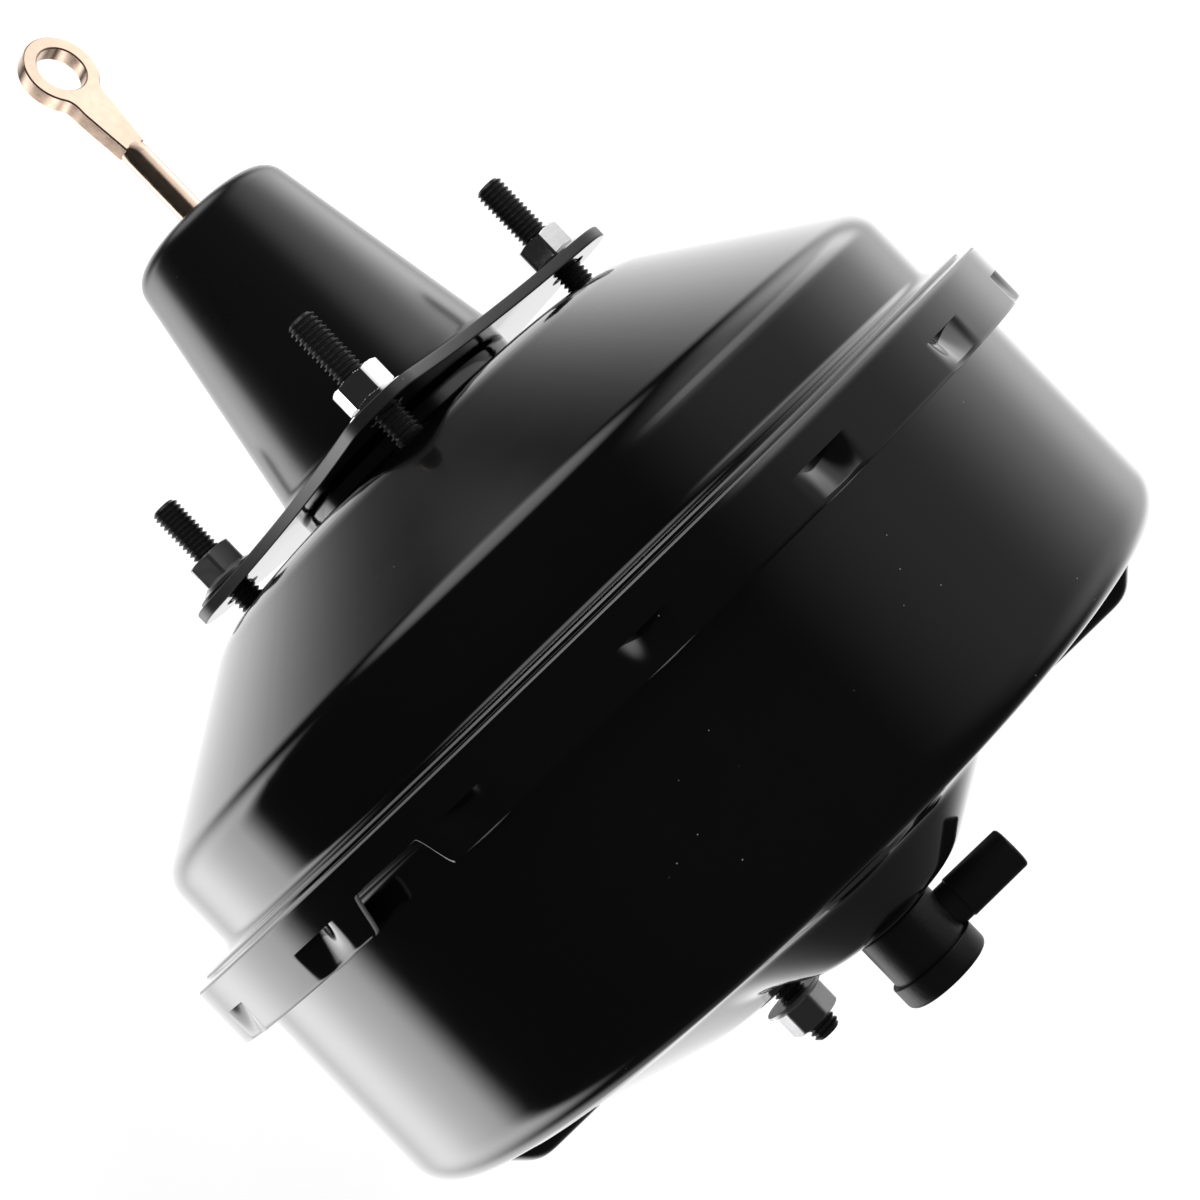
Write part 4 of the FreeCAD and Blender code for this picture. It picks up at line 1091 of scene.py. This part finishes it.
def flexing(node):
    """A copy of a spring, diaphragm or poppet that a joint lists as deforming, with its finish, in place
    of the hidden CAD node.
    """
    piece = bpy.data.objects.new(f"{node}_flexing", frame["nodes"][node].data.copy())
    bpy.context.scene.collection.objects.link(piece)
    piece.data.materials.clear()
    piece.data.materials.append(inner_finishes[slots[node]])
    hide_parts(node)
    return piece


for joint in frame["joints"]:
    for soft_part in joint.get("deforming_nodes", []):
        node = soft_part["node"]
        fixed = soft_part["fixed_end_x_m"]
        free = max((corner[0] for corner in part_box(node)), key=lambda x: abs(x - fixed))
        piece = flexing(node)
        kept_share = 1.0 - joint["range_m"][1] / (fixed - free)
        if 0.0 < kept_share < 1.0:
            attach(piece, joint["parent"])
            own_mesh(piece)
        else:
            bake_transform(piece)
for node, thing in frame["nodes"].items():
    material = inner_finishes.get(slots[node])
    if material and not thing.hide_render:
        thing.data.materials.clear()
        thing.data.materials.append(material)

# Studio. A pale floor well below the part, a white surround, and soft light from both sides. Gloss
# paint is lit by what it mirrors: a large white panel low on one side, a weaker one high on the
# other, the bright backdrop behind the part, and a dark flag round the camera.
AXIS_CENTRE = 0.0655
VIEW_LIFT = 47.4
VIEW_ROLL = 46.0
VIEW_DISTANCE = 0.6234
VIEW_SHIFT = (0.0246, 0.0037)
LENS = 72.0
SENSOR = 36.0
FLOOR = -0.34
FLOOR_SIZE = 40.0
BACKDROP_EDGE = (0.4, 0.8)
BACKDROP_LEVEL = 1.02
FRONT_FLAG_EDGE = (0.3, 0.7)
FRONT_FLAG_LOWER_EDGE = (-0.5, -0.15)
HIGH_FLAG_EDGE = (0.33, 0.6)
HIGH_FLAG_SHARE = 0.4
FLAG_DARKNESS = 0.95
LOW_PANEL_EDGE = (0.55, 0.9)
LOW_PANEL_NEAR_EDGE = (0.0, 0.22)
LOW_PANEL_LEVEL = 2.4
HIGH_PANEL_EDGE = (0.45, 0.95)
HIGH_PANEL_NEAR_EDGE = (-0.2, 0.55)
HIGH_PANEL_LEVELS = (0.2, 0.5)
REAR_GAIN_EDGE = (0.05, 0.6)
REAR_GAIN = 3.0
STRIP_FRONT_EDGE = (0.03, 0.18)
STRIP_REAR_EDGE = (0.42, 0.28)
STRIP_LOWER_EDGE = (0.55, 0.8)
STRIP_LEVEL = 1.1
END_PANEL_EDGE = (0.88, 0.99)
END_PANEL_LEVEL = 1.2
ROOM_LEVEL = 0.02
MATT_LEVEL = 0.8
to_camera = Vector((0.0, -math.cos(math.radians(VIEW_LIFT)), math.sin(math.radians(VIEW_LIFT))))
side_up = Vector((0.0, to_camera.z, -to_camera.y))
middle = Vector((AXIS_CENTRE, 0.0, 0.0))


def soft(tree, value, edge):
    """A soft step from 0 to 1 between the two values of an edge."""
    return add(
        tree,
        "ShaderNodeMapRange",
        {"Value": value, "From Min": edge[0], "From Max": edge[1]},
        interpolation_type="SMOOTHSTEP",
    ).outputs["Result"]


def times(tree, a, b):
    """Two values multiplied."""
    return maths(tree, "MULTIPLY", a, b)


def plus(tree, a, b):
    """Two values added."""
    return maths(tree, "ADD", a, b)


def toward(tree, direction, axis):
    """How far a direction points along an axis, from -1 to 1."""
    values = {0: direction, 1: tuple(axis)}
    return add(tree, "ShaderNodeVectorMath", values, operation="DOT_PRODUCT").outputs["Value"]


def plain_floor():
    """Large pale floor that keeps a soft shadow."""
    mesh = bpy.data.meshes.new("floor")
    corners = [(FLOOR_SIZE * a, FLOOR_SIZE * b, FLOOR) for a, b in ((-1, -1), (1, -1), (1, 1), (-1, 1))]
    mesh.from_pydata(corners, [], [(0, 1, 2, 3)])
    floor = bpy.data.objects.new("floor", mesh)
    bpy.context.scene.collection.objects.link(floor)
    material = bpy.data.materials.new("pale_floor")
    material.use_nodes = True
    tree = material.node_tree
    tree.nodes.remove(tree.nodes["Principled BSDF"])
    where = add(tree, "ShaderNodeTexCoord").outputs["Object"]
    grain = add(tree, "ShaderNodeTexNoise", {"Vector": where, "Scale": 30.0, "Detail": 4.0})
    tone = add(
        tree,
        "ShaderNodeMapRange",
        {"Value": grain.outputs["Fac"], "To Min": 0.86, "To Max": 0.9},
    )
    matt = add(tree, "ShaderNodeBsdfDiffuse", {"Color": tone.outputs["Result"]})
    seen = times(tree, add(tree, "ShaderNodeLightPath").outputs["Is Camera Ray"], 1.3)
    glow = add(tree, "ShaderNodeEmission", {"Color": (1.0, 1.0, 1.0, 1.0), "Strength": seen})
    glow_share = add(tree, "ShaderNodeMixShader", {0: 0.45})
    tree.links.new(matt.outputs[0], glow_share.inputs[1])
    tree.links.new(glow.outputs[0], glow_share.inputs[2])
    tree.links.new(glow_share.outputs[0], tree.nodes["Material Output"].inputs["Surface"])
    mesh.materials.append(material)
    floor.visible_glossy = False


def studio_world():
    """White to the camera, even to matt surfaces, and panels and a flag to glossy ones."""
    world = bpy.data.worlds.new("studio")
    bpy.context.scene.world = world
    world.use_nodes = True
    tree = world.node_tree
    surround = tree.nodes["Background"]
    surround.inputs["Color"].default_value = (1.0, 1.0, 1.0, 1.0)
    direction = add(tree, "ShaderNodeTexCoord").outputs["Generated"]
    behind = toward(tree, direction, -to_camera)
    low_side = toward(tree, direction, -side_up)
    high_side = toward(tree, direction, side_up)
    rear_end = toward(tree, direction, (-1.0, 0.0, 0.0))
    front_end = toward(tree, direction, (1.0, 0.0, 0.0))

    front_flag = times(
        tree,
        soft(tree, front_end, FRONT_FLAG_EDGE),
        soft(tree, high_side, FRONT_FLAG_LOWER_EDGE),
    )
    high_flag = times(tree, soft(tree, high_side, HIGH_FLAG_EDGE), HIGH_FLAG_SHARE)
    flags = times(tree, maths(tree, "MAXIMUM", front_flag, high_flag), FLAG_DARKNESS)
    backdrop = times(tree, soft(tree, behind, BACKDROP_EDGE), BACKDROP_LEVEL)
    backdrop = times(tree, backdrop, maths(tree, "SUBTRACT", 1.0, flags))

    low_panel = soft(tree, low_side, LOW_PANEL_EDGE)
    low_panel = times(tree, low_panel, soft(tree, behind, LOW_PANEL_NEAR_EDGE))
    low_panel = times(tree, low_panel, LOW_PANEL_LEVEL)

    near_level, far_rise = HIGH_PANEL_LEVELS
    high_level = times(tree, soft(tree, behind, HIGH_PANEL_NEAR_EDGE), far_rise)
    high_panel = times(tree, soft(tree, high_side, HIGH_PANEL_EDGE), plus(tree, high_level, near_level))
    rear_gain = plus(tree, times(tree, soft(tree, rear_end, REAR_GAIN_EDGE), REAR_GAIN), 1.0)
    high_panel = times(tree, high_panel, rear_gain)

    strip = times(tree, soft(tree, rear_end, STRIP_FRONT_EDGE), soft(tree, rear_end, STRIP_REAR_EDGE))
    strip = times(tree, strip, soft(tree, high_side, STRIP_LOWER_EDGE))
    strip = times(tree, strip, STRIP_LEVEL)
    end_panel = times(tree, soft(tree, rear_end, END_PANEL_EDGE), END_PANEL_LEVEL)

    glossy = ROOM_LEVEL
    for light in (backdrop, low_panel, high_panel, strip, end_panel):
        glossy = plus(tree, glossy, light)
    path = add(tree, "ShaderNodeLightPath").outputs
    clear = maths(tree, "MAXIMUM", path["Is Camera Ray"], path["Is Transmission Ray"])
    mirrored = add(tree, "ShaderNodeMix", {"Factor": path["Is Glossy Ray"], "A": MATT_LEVEL, "B": glossy})
    level = add(tree, "ShaderNodeMix", {"Factor": clear, "A": mirrored.outputs["Result"], "B": 1.0})
    tree.links.new(level.outputs["Result"], surround.inputs["Strength"])


def soft_lamp(name, place, size, power):
    """Large soft area lamp aimed at the middle of the part."""
    lamp = bpy.data.lights.new(name, "AREA")
    lamp.shape = "DISK"
    lamp.size = size
    lamp.energy = power
    holder = bpy.data.objects.new(name, lamp)
    holder.location = place
    holder.rotation_euler = (middle - holder.location).to_track_quat("-Z", "Y").to_euler()
    holder.visible_glossy = False
    bpy.context.scene.collection.objects.link(holder)


plain_floor()
studio_world()
soft_lamp("high_lamp", place=Vector((-0.3, 0.2, 1.4)), size=0.9, power=9.0)
soft_lamp("side_lamp", place=Vector((0.5, -1.3, 0.5)), size=0.9, power=5.0)

roll = math.radians(VIEW_ROLL)
right = Vector((math.cos(roll), 0.0, 0.0)) + side_up * math.sin(roll)
upward = Vector((-math.sin(roll), 0.0, 0.0)) + side_up * math.cos(roll)
eye = middle + to_camera * VIEW_DISTANCE
camera_data = bpy.data.cameras.new("camera")
camera_data.lens = LENS
camera_data.sensor_width = SENSOR
camera_data.shift_x, camera_data.shift_y = VIEW_SHIFT
camera = bpy.data.objects.new("camera", camera_data)
bpy.context.scene.collection.objects.link(camera)
camera.matrix_world = Matrix(
    (
        (right.x, upward.x, to_camera.x, eye.x),
        (right.y, upward.y, to_camera.y, eye.y),
        (right.z, upward.z, to_camera.z, eye.z),
        (0.0, 0.0, 0.0, 1.0),
    )
)
bpy.context.scene.camera = camera
bpy.context.scene.view_settings.view_transform = "Standard"
